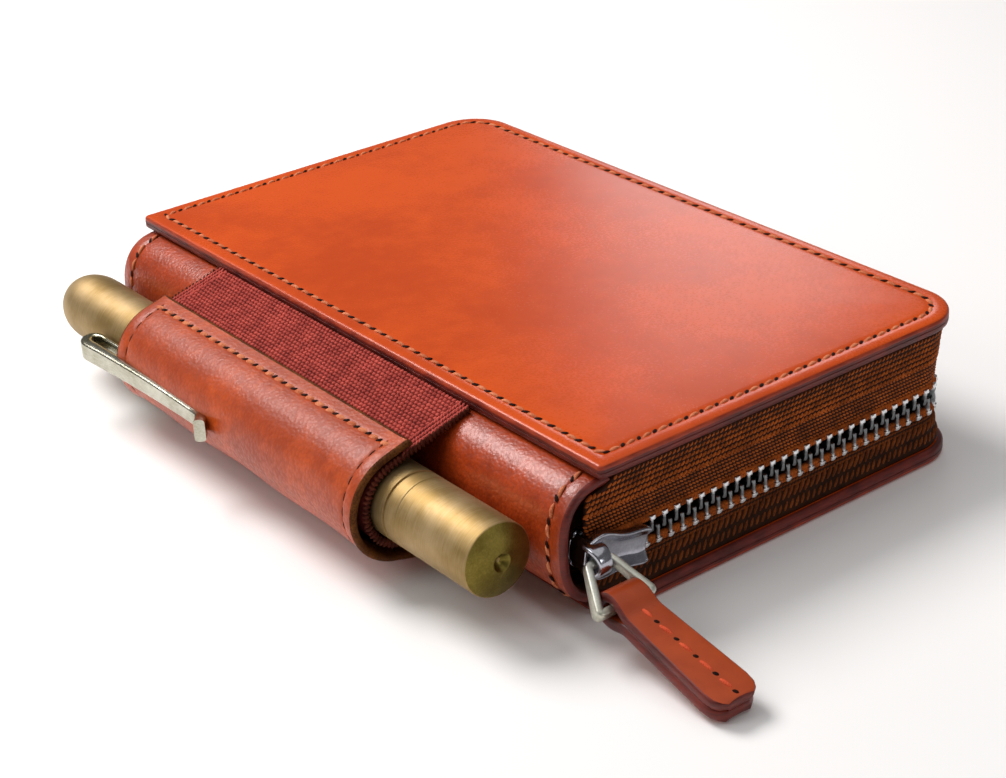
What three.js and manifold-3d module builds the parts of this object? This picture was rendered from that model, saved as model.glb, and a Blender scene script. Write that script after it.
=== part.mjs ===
// A zip-around leather pen case lying on its back cover, with a brass fountain
// pen held in a sleeve on its spine. Millimetres, +Z up.
// Origin: the middle of the back cover's outer face. The spine faces -X, the
// fore-edge +X, and the slider rests on the -Y side beside the spine.
import * as THREE from 'three';
import { mergeVertices } from 'three/addons/utils/BufferGeometryUtils.js';
import Module from 'manifold-3d';

const wasm = await Module();
wasm.setup();

// Case
const caseLength = 136;
const caseWidth = 81.4;
const caseHeight = 27.2;
const cornerRadius = 9;
const spineCornerRadius = 1;
const panelThickness = 2.6;
const gap = 0.3; // between pieces that touch

// Stiffener boards and linings
const boardThickness = 1;
const boardRim = 6.5;
const boardCorner = 3;
const liningThickness = 0.6;

// Spine leather: a D-shaped shell between the two covers
const spineBulge = 6.8;
const spineTuck = 2.8;
const spineThickness = 1.6;
const spineSetback = 1.3;
const spineRoundness = 2.6;
const spineLiningSetback = 8;

// Zip
const chainHeight = 11.2; // the seam between the two rows, above the table
const chainInset = 2.5; // the row's middle, in from the cover's outline
const chainDepth = 2.2;
const toothPitch = 2.54;
const cordHeight = 0.9;
const toothHeight = 0.95;
const toothRise = 0.5; // of each pitch, the length over which a tooth rises from its cord
const toothTop = 1.8; // where the tooth's flat top ends
const frontRowLead = 2; // teeth left out beside the slider, so that the row swings clear as the case opens
const seamClearance = 0.55;
const tapeThickness = 1;
const flangeThickness = 0.6;
const flangeReach = 6;
const turnSteps = 6;

// Slider, its crown, the link and the leather tab
const sliderLength = 12.5;
const sliderHeight = 8;
const sliderPlate = 1.1;
const sliderLip = 1.3;
const sliderPost = 0.5;
const stopLength = 3.2;
const sliderNose = -44;
const crownLength = 2.4;
const crownWall = 1;
const crownRise = 1.2;
const crownHalfSlot = 1.7;
const crownReach = 1.12; // how far the link's pivot and the crown's top stand off each other and the slider
const linkWire = 1.4;
const linkLength = 7.5;
const linkLean = 52; // degrees away from the case
const tabLength = 25.5;
const tabTopWidth = 6.6;
const tabEndWidth = 9;
const tabPly = 1.8;
const tabFoldRun = 5.5;

// Pen
const penRadius = 6.25;
const penLength = 133;
const penTailSetback = 6.5;
const penSpineClearance = 1.05;
const barrelLength = 71;
const barrelBore = 5;
const tailRise = 1.2;
const dimpleRadius = 1.1;
const dimpleDepth = 1.3;
const knobLength = 22;
const knobGroove = 0.2;
const capWall = 1.05;
const domeLength = 9;
const gripClearance = 0.5; // between the grip and the cap's bore
const gripTaper = 0.9;
const gripLength = 20;
const feedRadius = 2.2;
const feedTip = 0.75;
const nibThickness = 0.4;
const nibLength = 24;
const nibShoulder = 13.2; // from the nib's back to where it starts to narrow
const converterRadius = 3.4;
const roundSteps = 24;

// Sleeve that holds the pen
const sleeveStart = 31.5; // from the near end of the case
const sleeveLength = 76;
const sleeveEase = 0.5;
const webbingThickness = 1;
const sleeveLeatherThickness = 1.3;
const webbingShown = 11.5;
const sleeveLeatherHem = 2.5;

// Clip
const clipThickness = 1;
const clipWidth = 3.4;
const clipReach = 41;
const clipRootLength = 6;
const clipFootRun = 4;
const clipFootRise = 1.4;
const clipSleeveClearance = 2;

// Inside: the band of pen loops and the slip pocket
const loopCount = 3;
const loopPitch = 21;
const loopRadius = 7;
const loopLeg = 5.5;
const loopWall = 1;
const loopBandLength = 32;
const loopFoot = 4;
const pocketThickness = 0.9;
const pocketMargin = 6;
const pocketMouth = 20;

const colours = {
  leather: { color: 0xb8501f, roughness: 0.45, metalness: 0 },
  board: { color: 0x8d8478, roughness: 0.9, metalness: 0 },
  lining: { color: 0x6e4a33, roughness: 0.85, metalness: 0 },
  webbing: { color: 0x6b2a2b, roughness: 0.85, metalness: 0 },
  tape: { color: 0x4b2413, roughness: 0.85, metalness: 0 },
  nickel: { color: 0xb9b9b6, roughness: 0.25, metalness: 1 },
  brass: { color: 0xb79a5b, roughness: 0.35, metalness: 1 },
  steel: { color: 0xc6c8c0, roughness: 0.25, metalness: 1 },
  plastic: { color: 0x1b1b1d, roughness: 0.4, metalness: 0 },
};

const spineEdge = -caseWidth / 2;
const nearEnd = -caseLength / 2;
const midHeight = caseHeight / 2;
const liningFloor = panelThickness + gap + flangeThickness + gap;
const liningTop = liningFloor + liningThickness;
const rowTop = chainHeight - seamClearance;
const rowBottom = rowTop - toothHeight - cordHeight;
const tapeTop = rowBottom - gap;
const zipStart = spineEdge + spineTuck + 2 * gap;
const sliderTail = sliderNose + sliderLength;
const penX = spineEdge - spineBulge - penSpineClearance - penRadius;
const penY = nearEnd + penTailSetback;

// Solids

function toSolid(geometry) {
  const shell = geometry.clone();
  shell.deleteAttribute('normal');
  shell.deleteAttribute('uv');
  const merged = mergeVertices(shell, 1e-4);
  const mesh = new wasm.Mesh({
    numProp: 3,
    vertProperties: new Float32Array(merged.attributes.position.array),
    triVerts: new Uint32Array(merged.index.array),
  });
  return new wasm.Manifold(mesh);
}

function toGeometry(solid) {
  const mesh = solid.getMesh();
  const geometry = new THREE.BufferGeometry();
  geometry.setAttribute('position', new THREE.BufferAttribute(mesh.vertProperties, 3));
  geometry.setIndex(new THREE.BufferAttribute(mesh.triVerts, 1));
  geometry.computeVertexNormals();
  return geometry;
}

function cut(body, tool) {
  return toGeometry(toSolid(body).subtract(toSolid(tool)));
}

function join(pieces) {
  return toGeometry(pieces.map(toSolid).reduce((whole, piece) => whole.add(piece)));
}

function block(x0, x1, y0, y1, z0, z1) {
  const box = new THREE.BoxGeometry(x1 - x0, y1 - y0, z1 - z0);
  return box.translate((x0 + x1) / 2, (y0 + y1) / 2, (z0 + z1) / 2);
}

// Extrusions of a flat shape: upwards, along Y from a plan of X and Z, and
// along X from a plan of Y and Z.

function plate(shape, z0, z1, curveSegments = 6) {
  const geometry = new THREE.ExtrudeGeometry(shape, { depth: z1 - z0, bevelEnabled: false, curveSegments });
  return geometry.translate(0, 0, z0);
}

function alongY(shape, y0, y1, curveSegments = 8) {
  const geometry = new THREE.ExtrudeGeometry(shape, { depth: y1 - y0, bevelEnabled: false, curveSegments });
  return geometry.rotateX(Math.PI / 2).translate(0, y1, 0);
}

function alongX(shape, x0, x1, curveSegments = 8) {
  const geometry = new THREE.ExtrudeGeometry(shape, { depth: x1 - x0, bevelEnabled: false, curveSegments });
  const turn = new THREE.Matrix4().makeBasis(
    new THREE.Vector3(0, 1, 0),
    new THREE.Vector3(0, 0, 1),
    new THREE.Vector3(1, 0, 0),
  );
  return geometry.applyMatrix4(turn).translate(x0, 0, 0);
}

// Skins a row of rings that have the same number of corners, each turning
// counter-clockwise about the way ahead, and closes both ends.
function skin(rings, capTriangles) {
  const count = rings[0].length;
  const positions = rings.flat().flatMap((corner) => corner.toArray());
  const index = [];
  for (let ring = 0; ring < rings.length - 1; ring += 1) {
    for (let corner = 0; corner < count; corner += 1) {
      const a = ring * count + corner;
      const b = ring * count + ((corner + 1) % count);
      index.push(a, b, b + count, a, b + count, a + count);
    }
  }
  const last = (rings.length - 1) * count;
  for (const [a, b, c] of capTriangles) {
    index.push(a, c, b, last + a, last + b, last + c);
  }
  const geometry = new THREE.BufferGeometry();
  geometry.setAttribute('position', new THREE.Float32BufferAttribute(positions, 3));
  geometry.setIndex(index);
  geometry.computeVertexNormals();
  return geometry;
}

// Covers

function coverOutline(inset, spineInset, foreCorner, spineCorner) {
  const left = spineEdge + spineInset;
  const right = caseWidth / 2 - inset;
  const near = nearEnd + inset;
  const far = -near;
  const outline = new THREE.Shape();
  outline.moveTo(left + spineCorner, near);
  outline.absarc(right - foreCorner, near + foreCorner, foreCorner, -Math.PI / 2, 0, false);
  outline.absarc(right - foreCorner, far - foreCorner, foreCorner, 0, Math.PI / 2, false);
  outline.absarc(left + spineCorner, far - spineCorner, spineCorner, Math.PI / 2, Math.PI, false);
  outline.absarc(left + spineCorner, near + spineCorner, spineCorner, Math.PI, 1.5 * Math.PI, false);
  return outline;
}

function coverLeather(outside, inside) {
  const recess = coverOutline(boardRim, boardRim, boardCorner, boardCorner);
  const depth = (boardThickness + gap) * Math.sign(outside - inside);
  const body = plate(coverOutline(0, 0, cornerRadius, spineCornerRadius), ...between(outside, inside));
  return cut(body, plate(recess, ...between(inside + depth, inside - depth)));
}

function between(a, b) {
  return [Math.min(a, b), Math.max(a, b)];
}

function board(z0) {
  const inset = boardRim + gap;
  return plate(coverOutline(inset, inset, boardCorner - gap, boardCorner - gap), z0, z0 + boardThickness);
}

function lining(z0) {
  const inset = chainInset + tapeThickness / 2 + gap;
  const spineInset = spineTuck + 3 * gap;
  const outline = coverOutline(inset, spineInset, cornerRadius - inset, spineCornerRadius);
  return plate(outline, z0, z0 + liningThickness);
}

// Zip

// A place on the zip's line round the three open sides: s along the middle of
// the chain from its near end by the spine, depth in from the cover's outline.
function zipPlace(s, depth, z) {
  const cx = caseWidth / 2 - cornerRadius;
  const cy = caseLength / 2 - cornerRadius;
  const reach = cornerRadius - depth;
  const { shortRun, turn, longRun } = zipRuns();
  if (s < shortRun) {
    return new THREE.Vector3(zipStart + s, -cy - reach, z);
  }
  const pastNear = s - shortRun;
  if (pastNear < turn) {
    const angle = (pastNear / turn - 1) * Math.PI / 2;
    return new THREE.Vector3(cx + reach * Math.cos(angle), -cy + reach * Math.sin(angle), z);
  }
  const pastTurn = pastNear - turn;
  if (pastTurn < longRun) {
    return new THREE.Vector3(cx + reach, -cy + pastTurn, z);
  }
  const pastFore = pastTurn - longRun;
  if (pastFore < turn) {
    const angle = pastFore / turn * Math.PI / 2;
    return new THREE.Vector3(cx + reach * Math.cos(angle), cy + reach * Math.sin(angle), z);
  }
  return new THREE.Vector3(cx - (pastFore - turn), cy + reach, z);
}

function zipRuns() {
  return {
    shortRun: caseWidth / 2 - cornerRadius - zipStart,
    turn: (cornerRadius - chainInset) * Math.PI / 2,
    longRun: caseLength - 2 * cornerRadius,
  };
}

function zipLength() {
  const { shortRun, turn, longRun } = zipRuns();
  return 2 * shortRun + 2 * turn + longRun;
}

function zipStations() {
  const { shortRun, turn, longRun } = zipRuns();
  const stations = [0];
  for (let step = 0; step <= turnSteps; step += 1) {
    stations.push(shortRun + turn * step / turnSteps);
  }
  for (let step = 0; step <= turnSteps; step += 1) {
    stations.push(shortRun + turn + longRun + turn * step / turnSteps);
  }
  stations.push(zipLength());
  return stations;
}

// Sweeps a flat section of [depth, z] corners along the zip's line. Each stop
// gives its place along the line and the section there.
function sweepZip(stops) {
  const flat = stops[0].section.map(([depth, z]) => new THREE.Vector2(depth, z));
  const clockwise = THREE.ShapeUtils.isClockWise(flat);
  const ordered = clockwise ? flat.reverse() : flat;
  const rings = stops.map(({ s, section }) => {
    const ring = section.map(([depth, z]) => zipPlace(s, depth, z));
    return clockwise ? ring.reverse() : ring;
  });
  return skin(rings, THREE.ShapeUtils.triangulateShape(ordered, []));
}

// The tape: a flange sewn under the cover, and a wall up to the chain's cord.
function zipTape(flangeZ, wallZ) {
  const outer = chainInset - tapeThickness / 2;
  const inner = chainInset + tapeThickness / 2;
  const flangeInside = flangeZ + Math.sign(wallZ - flangeZ) * flangeThickness;
  const section = [
    [outer, flangeZ],
    [inner + flangeReach, flangeZ],
    [inner + flangeReach, flangeInside],
    [inner, flangeInside],
    [inner, wallZ],
    [outer, wallZ],
  ];
  return sweepZip(zipStations().map((s) => ({ s, section })));
}

// A row of teeth standing on its cord. The cord's side is at cordZ and the
// teeth reach to tipZ. The lead is how many teeth are left out at its start.
function zipChain(cordZ, tipZ, lead) {
  const up = Math.sign(tipZ - cordZ);
  const first = sliderTail + gap - zipStart + lead * toothPitch;
  const teeth = Math.floor((zipLength() - first - stopLength - 2 * gap) / toothPitch);
  const outer = chainInset - chainDepth / 2;
  const inner = chainInset + chainDepth / 2;
  const row = (s, height) => {
    const top = cordZ + up * height;
    return { s, section: [[outer, cordZ], [inner, cordZ], [inner, top], [outer, top]] };
  };
  const stops = [row(first, cordHeight)];
  for (let tooth = 0; tooth < teeth; tooth += 1) {
    const s = first + tooth * toothPitch;
    stops.push(row(s + toothRise, cordHeight + toothHeight));
    stops.push(row(s + toothTop, cordHeight + toothHeight));
    stops.push(row(s + toothPitch, cordHeight));
  }
  return sweepZip(stops);
}

// Two plates joined by a thin post in the seam, with lips that close towards
// the tape. yMiddle is the middle of the chain.
function seamClamp(x0, x1, yMiddle, plateWall, height, lip) {
  const channel = chainDepth / 2 + gap;
  const slot = tapeThickness / 2 + gap;
  const half = height / 2;
  const plates = [-1, 1].map((side) => {
    const [y0, y1] = between(yMiddle + side * channel, yMiddle + side * (channel + plateWall));
    return block(x0, x1, y0, y1, chainHeight - half, chainHeight + half);
  });
  const post = block(
    x0, Math.min(x1, x0 + stopLength),
    yMiddle - channel - plateWall / 2, yMiddle + channel + plateWall / 2,
    chainHeight - sliderPost / 2, chainHeight + sliderPost / 2,
  );
  const lips = [];
  for (const side of [-1, 1]) {
    for (const end of [-1, 1]) {
      const [y0, y1] = between(yMiddle + side * slot, yMiddle + side * (channel + plateWall / 2));
      const [z0, z1] = between(chainHeight + end * (half - lip), chainHeight + end * half);
      lips.push(block(x0, x1, y0, y1, z0, z1));
    }
  }
  return join([...plates, post, ...(lip > 0 ? lips : [])]);
}

function sliderBody() {
  return seamClamp(sliderNose, sliderTail, nearEnd + chainInset, sliderPlate, sliderHeight, sliderLip);
}

function bottomStop() {
  const start = zipStart + gap;
  return seamClamp(start, start + stopLength, -nearEnd - chainInset, sliderPlate, sliderHeight, 0);
}

// The slider's outer face, the crown's middle and the link's pivot on it.
const sliderFace = nearEnd + chainInset - chainDepth / 2 - gap - sliderPlate;
const crownX = sliderNose + crownLength / 2;
const crownZ = chainHeight + crownRise;
const linkPivotY = sliderFace - gap - crownReach;
const tabEye = linkWire * Math.SQRT1_2 + gap; // clears the link's square bar as the tab turns

function sliderCrown() {
  const half = crownHalfSlot;
  const top = linkPivotY - crownReach;
  const base = sliderFace - gap;
  const arch = new THREE.Shape();
  arch.moveTo(base, crownZ - half - crownWall);
  arch.lineTo(top - crownWall, crownZ - half);
  arch.lineTo(top - crownWall, crownZ + half);
  arch.lineTo(base, crownZ + half + crownWall);
  arch.lineTo(base, crownZ + half);
  arch.lineTo(top, crownZ + half);
  arch.lineTo(top, crownZ - half);
  arch.lineTo(base, crownZ - half);
  return alongX(arch, crownX - crownLength / 2, crownX + crownLength / 2);
}

// A flat link: its short bar runs under the crown, and its long bar through
// the tab's fold, which the straight part of its sides clears. It is drawn
// hanging along -Y from its pivot.
function pullLink() {
  const half = linkWire / 2;
  const top = crownLength / 2 + gap;
  const base = tabTopWidth / 2 + gap;
  const shoulder = tabEye + tabPly + gap - linkLength;
  const outline = new THREE.Shape();
  outline.moveTo(-top - linkWire, half);
  outline.lineTo(-base - linkWire, shoulder);
  outline.lineTo(-base - linkWire, -linkLength - half);
  outline.lineTo(base + linkWire, -linkLength - half);
  outline.lineTo(base + linkWire, shoulder);
  outline.lineTo(top + linkWire, half);
  const opening = new THREE.Path();
  opening.moveTo(-top, -half);
  opening.lineTo(top, -half);
  opening.lineTo(base, shoulder);
  opening.lineTo(base, -linkLength + half);
  opening.lineTo(-base, -linkLength + half);
  opening.lineTo(-base, shoulder);
  outline.holes.push(opening);
  return plate(outline, -half, half);
}

// A strip folded over the link's long bar, its two plies meeting below the
// fold. It is drawn lying along -Y from the bar.
function pullTab() {
  const eye = tabEye;
  const split = gap / 2;
  const fold = new THREE.Shape();
  fold.moveTo(-tabLength, -split - tabPly);
  fold.lineTo(-tabFoldRun, -split - tabPly);
  fold.lineTo(-eye, -eye - tabPly);
  fold.absarc(0, 0, eye + tabPly, -Math.PI / 2, Math.PI / 2, false);
  fold.lineTo(-eye, eye + tabPly);
  fold.lineTo(-tabFoldRun, split + tabPly);
  fold.lineTo(-tabLength, split + tabPly);
  fold.lineTo(-tabLength, split);
  fold.lineTo(-tabFoldRun, split);
  fold.lineTo(-eye, eye);
  fold.absarc(0, 0, eye, Math.PI / 2, -Math.PI / 2, true);
  fold.lineTo(-eye, -eye);
  fold.lineTo(-tabFoldRun, -split);
  fold.lineTo(-tabLength, -split);
  const geometry = alongX(fold, -0.5, 0.5, 5); // one millimetre wide, then spread to the tab's width
  const place = geometry.attributes.position;
  for (let i = 0; i < place.count; i += 1) {
    const share = THREE.MathUtils.clamp(-place.getY(i) / tabLength, 0, 1);
    place.setX(i, place.getX(i) * THREE.MathUtils.lerp(tabTopWidth, tabEndWidth, share));
  }
  return geometry;
}

// Spine

// Half of a rounded D, from its lower end round the bulge to its upper end.
function bulgePoints(inset) {
  const across = spineBulge + spineTuck - inset;
  const up = midHeight - panelThickness - gap - inset;
  const points = [];
  for (let step = 0; step <= roundSteps; step += 1) {
    const angle = (step / roundSteps - 0.5) * Math.PI;
    const x = Math.cos(angle) ** (2 / spineRoundness);
    const z = Math.abs(Math.sin(angle)) ** (2 / spineRoundness) * Math.sign(angle);
    points.push(new THREE.Vector2(spineEdge + spineTuck - across * x, midHeight + up * z));
  }
  return points;
}

function spineShell(inset, thickness, setback) {
  const outside = bulgePoints(inset);
  const inside = bulgePoints(inset + thickness).reverse();
  return alongY(new THREE.Shape([...outside, ...inside]), nearEnd + setback, -nearEnd - setback);
}

// Sleeve: a band from the top cover's edge, round the outside of the pen, and
// back to the bottom cover's edge.

const webbingInner = penRadius + sleeveEase;
const webbingMiddle = webbingInner + webbingThickness / 2;
const sleeveAnchorX = spineEdge - gap;
const sleeveAnchorRise = midHeight - panelThickness + gap;

// The angle at which a straight run from the anchor meets the band's circle.
function sleeveTangent() {
  const across = sleeveAnchorX - penX;
  const distance = Math.hypot(across, sleeveAnchorRise);
  return Math.atan2(sleeveAnchorRise, across) + Math.acos(webbingMiddle / distance);
}

function sleeveBand(inner, outer, topStart, bottomEnd) {
  const tangent = sleeveTangent();
  const normal = new THREE.Vector2(Math.cos(tangent), Math.sin(tangent));
  const touch = normal.clone().multiplyScalar(webbingMiddle);
  const anchor = new THREE.Vector2(sleeveAnchorX - penX, sleeveAnchorRise);
  const run = touch.clone().sub(anchor).normalize();
  const edge = (start, radius, side) => {
    const place = anchor.clone().addScaledVector(run, start).addScaledVector(normal, radius - webbingMiddle);
    return [penX + place.x, midHeight + side * place.y];
  };
  const band = new THREE.Shape();
  band.moveTo(...edge(topStart, outer, 1));
  band.absarc(penX, midHeight, outer, tangent, 2 * Math.PI - tangent, false);
  band.lineTo(...edge(bottomEnd, outer, -1));
  band.lineTo(...edge(bottomEnd, inner, -1));
  band.absarc(penX, midHeight, inner, 2 * Math.PI - tangent, tangent, true);
  band.lineTo(...edge(topStart, inner, 1));
  return alongY(band, nearEnd + sleeveStart, nearEnd + sleeveStart + sleeveLength, roundSteps / 2);
}

const sleeveLeatherInner = webbingInner + webbingThickness + gap;
const sleeveLeatherOuter = sleeveLeatherInner + sleeveLeatherThickness;

// Pen, turned about its own axis from its tail along +Y

function turned(points) {
  return new THREE.LatheGeometry(points.map(([r, y]) => new THREE.Vector2(r, y)), roundSteps);
}

function penBarrel() {
  return turned([
    [0, dimpleDepth],
    [dimpleRadius, 0],
    [penRadius, tailRise],
    [penRadius, knobLength - knobGroove],
    [penRadius - knobGroove, knobLength],
    [penRadius, knobLength + knobGroove],
    [penRadius, barrelLength],
    [barrelBore, barrelLength],
    [barrelBore, knobLength + barrelBore],
    [0, knobLength + barrelBore],
  ]);
}

const sectionBore = feedRadius + nibThickness + 3 * gap;
const tenonLength = 10;

function penSection() {
  const tenon = barrelBore - gap;
  const gripRadius = penRadius - capWall - gripClearance;
  const shoulder = barrelLength + gap;
  return turned([
    [0, barrelLength - tenonLength],
    [tenon, barrelLength - tenonLength],
    [tenon, shoulder],
    [gripRadius, shoulder + gap],
    [gripRadius * gripTaper, shoulder + gripLength],
    [sectionBore, shoulder + gripLength],
    [sectionBore, shoulder + gap],
    [0, shoulder + gap],
  ]);
}

function penFeed() {
  const back = barrelLength + 3 * gap;
  const front = back + gripLength + nibShoulder;
  return turned([[0, back], [feedRadius, back], [feedRadius, back + gripLength], [feedTip, front], [0, front]]);
}

// The nib is half of a thin tube over the feed, cut to a point.
function penNib() {
  const back = barrelLength + gripLength / 2;
  const front = back + nibLength;
  const inner = feedRadius + gap;
  const outer = inner + nibThickness;
  const tube = turned([[inner, back], [outer, back], [outer, front], [inner, front], [inner, back]]);
  const plan = new THREE.Shape();
  const side = outer + gap;
  plan.moveTo(-side, back - gap);
  plan.lineTo(side, back - gap);
  plan.lineTo(side, back + nibShoulder);
  plan.lineTo(nibThickness, front + gap);
  plan.lineTo(-nibThickness, front + gap);
  plan.lineTo(-side, back + nibShoulder);
  const half = plate(plan, nibThickness * 2, outer + gap);
  return toGeometry(toSolid(tube).intersect(toSolid(half)));
}

function penConverter() {
  const back = knobLength + barrelBore + gap;
  const front = barrelLength - tenonLength - gap;
  return turned([[0, back], [converterRadius, back], [converterRadius, front], [0, front]]);
}

function penCap() {
  const rim = barrelLength + gap;
  const shoulder = penLength - domeLength;
  const dome = [];
  for (let step = 0; step <= roundSteps / 3; step += 1) {
    const angle = step / (roundSteps / 3) * Math.PI / 2;
    dome.push([penRadius * Math.sin(angle), shoulder + domeLength * Math.cos(angle)]);
  }
  return turned([
    [0, shoulder - capWall],
    [penRadius - capWall, shoulder - capWall],
    [penRadius - capWall, rim],
    [penRadius, rim],
    ...dome.reverse(),
  ]);
}

// A bent strip: its root lies along the cap, it turns back on itself past the
// sleeve's end, and its foot runs down the outside of the sleeve.
function penClip() {
  const inside = penRadius + gap;
  const outside = sleeveLeatherOuter + gap + clipThickness;
  const bend = (outside - inside) / 2;
  const rootStart = sleeveStart + sleeveLength - penTailSetback + clipSleeveClearance;
  const turnY = rootStart + clipRootLength;
  const footStart = turnY - clipReach;
  const strip = new THREE.Shape();
  strip.moveTo(-inside, rootStart);
  strip.lineTo(-inside, turnY);
  strip.absarc(-inside - bend, turnY, bend, 0, Math.PI, false);
  strip.lineTo(-outside, footStart + clipFootRun);
  strip.lineTo(-outside - clipFootRise, footStart);
  strip.lineTo(-outside - clipFootRise + clipThickness, footStart);
  strip.lineTo(-outside + clipThickness, footStart + clipFootRun);
  strip.lineTo(-outside + clipThickness, turnY);
  strip.absarc(-inside - bend, turnY, bend - clipThickness, Math.PI, 0, true);
  strip.lineTo(-inside - clipThickness, rootStart);
  return plate(strip, -clipWidth / 2, clipWidth / 2, 6);
}

// Inside

function penLoops(floor) {
  const first = -loopPitch * (loopCount - 1) / 2;
  const outer = loopRadius + loopWall;
  const spring = floor + loopLeg;
  const centres = Array.from({ length: loopCount }, (_, loop) => first + loop * loopPitch);
  const band = new THREE.Shape();
  band.moveTo(first - outer - loopFoot, floor);
  for (const centre of centres) {
    band.lineTo(centre - loopRadius, floor);
    band.lineTo(centre - loopRadius, spring);
    band.absarc(centre, spring, loopRadius, Math.PI, 0, true);
    band.lineTo(centre + loopRadius, floor);
  }
  band.lineTo(-first + outer + loopFoot, floor);
  band.lineTo(-first + outer + loopFoot, floor + loopWall);
  for (const centre of centres.reverse()) {
    band.lineTo(centre + outer, floor + loopWall);
    band.lineTo(centre + outer, spring);
    band.absarc(centre, spring, outer, 0, Math.PI, false);
    band.lineTo(centre - outer, floor + loopWall);
  }
  band.lineTo(first - outer - loopFoot, floor + loopWall);
  return alongY(band, -loopBandLength / 2, loopBandLength / 2, 8);
}

function slipPocket(top) {
  const margin = chainInset + pocketMargin;
  return block(
    spineEdge + margin, caseWidth / 2 - margin,
    nearEnd + margin, pocketMouth,
    top - pocketThickness, top,
  );
}

// Assembly

const penCase = new THREE.Group();

function addPart(parent, name, geometry, finish) {
  const mesh = new THREE.Mesh(geometry, new THREE.MeshStandardMaterial(colours[finish]));
  mesh.name = name;
  parent.add(mesh);
  return mesh;
}

const frontInside = caseHeight - panelThickness;
const frontLiningTop = caseHeight - liningFloor;

addPart(penCase, 'back_cover_leather', coverLeather(0, panelThickness), 'leather');
addPart(penCase, 'back_board', board(panelThickness - boardThickness), 'board');
addPart(penCase, 'back_lining', lining(liningFloor), 'lining');
addPart(penCase, 'zip_tape_back', zipTape(panelThickness + gap, tapeTop), 'tape');
addPart(penCase, 'zip_chain_back', zipChain(rowBottom, rowTop, 0), 'nickel');
addPart(penCase, 'zip_bottom_stop', bottomStop(), 'nickel');
addPart(penCase, 'inner_pen_loops', penLoops(liningTop + gap), 'webbing');

addPart(penCase, 'front_cover_leather', coverLeather(caseHeight, frontInside), 'leather');
addPart(penCase, 'front_board', board(frontInside), 'board');
addPart(penCase, 'front_lining', lining(frontLiningTop - liningThickness), 'lining');
addPart(penCase, 'zip_tape_front', zipTape(frontInside - gap, 2 * chainHeight - tapeTop), 'tape');
addPart(
  penCase, 'zip_chain_front',
  zipChain(2 * chainHeight - rowBottom, chainHeight + seamClearance, frontRowLead), 'nickel',
);
addPart(penCase, 'slip_pocket', slipPocket(frontLiningTop - liningThickness - gap), 'leather');

addPart(penCase, 'spine_leather', spineShell(0, spineThickness, spineSetback), 'leather');
addPart(
  penCase, 'spine_lining',
  spineShell(spineThickness + gap, liningThickness, spineLiningSetback), 'lining',
);
addPart(
  penCase, 'pen_sleeve_webbing',
  sleeveBand(webbingInner, webbingInner + webbingThickness, 0, 0), 'webbing',
);
addPart(
  penCase, 'pen_sleeve_leather',
  sleeveBand(sleeveLeatherInner, sleeveLeatherOuter, webbingShown, sleeveLeatherHem), 'leather',
);

addPart(penCase, 'slider_body', sliderBody(), 'nickel');
addPart(penCase, 'slider_crown', sliderCrown(), 'nickel');

const link = new THREE.Group();
link.position.set(crownX, linkPivotY, crownZ);
link.rotation.x = THREE.MathUtils.degToRad(90 - linkLean);
penCase.add(link);
addPart(link, 'pull_link', pullLink(), 'steel');

// The tab slopes from the link's long bar down to the table.
const leanAngle = THREE.MathUtils.degToRad(linkLean);
const tabHalf = tabPly + gap / 2;
const tabBarHeight = crownZ - linkLength * Math.cos(leanAngle);
const tabSlope = Math.asin((tabBarHeight - tabHalf - gap) / tabLength);
const tab = addPart(penCase, 'pull_tab', pullTab(), 'leather');
tab.position.set(crownX, linkPivotY - linkLength * Math.sin(leanAngle), tabBarHeight);
tab.rotation.x = tabSlope;

const pen = new THREE.Group();
pen.position.set(penX, penY, midHeight);
penCase.add(pen);
addPart(pen, 'pen_barrel', penBarrel(), 'brass');
addPart(pen, 'pen_section', penSection(), 'plastic');
addPart(pen, 'pen_feed', penFeed(), 'plastic');
addPart(pen, 'pen_nib', penNib(), 'steel');
addPart(pen, 'pen_converter', penConverter(), 'plastic');
addPart(pen, 'pen_cap', penCap(), 'brass');
addPart(pen, 'pen_clip', penClip(), 'steel');

export default penCase;
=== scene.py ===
# A zip-around leather pen case lying on its back, with a brass fountain pen held
# in a sleeve on its spine. Settings are in millimetres; meshes are made in metres.
import math
import bmesh
import bpy
import numpy as np
from mathutils import Matrix, Vector
from mathutils.bvhtree import BVHTree


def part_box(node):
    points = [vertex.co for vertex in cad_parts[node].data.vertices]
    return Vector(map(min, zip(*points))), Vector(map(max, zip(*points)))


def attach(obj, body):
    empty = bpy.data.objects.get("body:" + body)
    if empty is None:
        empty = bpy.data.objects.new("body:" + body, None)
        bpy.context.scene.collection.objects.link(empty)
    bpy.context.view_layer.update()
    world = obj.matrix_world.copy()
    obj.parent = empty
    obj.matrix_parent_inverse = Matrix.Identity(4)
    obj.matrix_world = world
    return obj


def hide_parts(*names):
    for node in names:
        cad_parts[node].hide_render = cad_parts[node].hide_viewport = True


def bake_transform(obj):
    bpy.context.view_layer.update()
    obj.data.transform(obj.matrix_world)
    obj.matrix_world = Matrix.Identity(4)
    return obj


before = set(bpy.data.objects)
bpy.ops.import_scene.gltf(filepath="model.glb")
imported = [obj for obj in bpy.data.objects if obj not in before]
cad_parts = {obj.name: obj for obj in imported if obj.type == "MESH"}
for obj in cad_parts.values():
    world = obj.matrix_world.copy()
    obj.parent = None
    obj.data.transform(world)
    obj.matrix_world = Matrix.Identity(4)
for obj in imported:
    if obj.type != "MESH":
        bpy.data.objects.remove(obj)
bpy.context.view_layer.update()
mm = 0.001
scene = bpy.context.scene
print("frame loaded")


def sized(node):
    low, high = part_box(node)
    return np.array(low) / mm, np.array(high) / mm


frontLow, frontHigh = sized("front_cover_leather")
backHigh = sized("back_cover_leather")[1]
midHeight = frontHigh[2] / 2


# Camera and light

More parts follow.
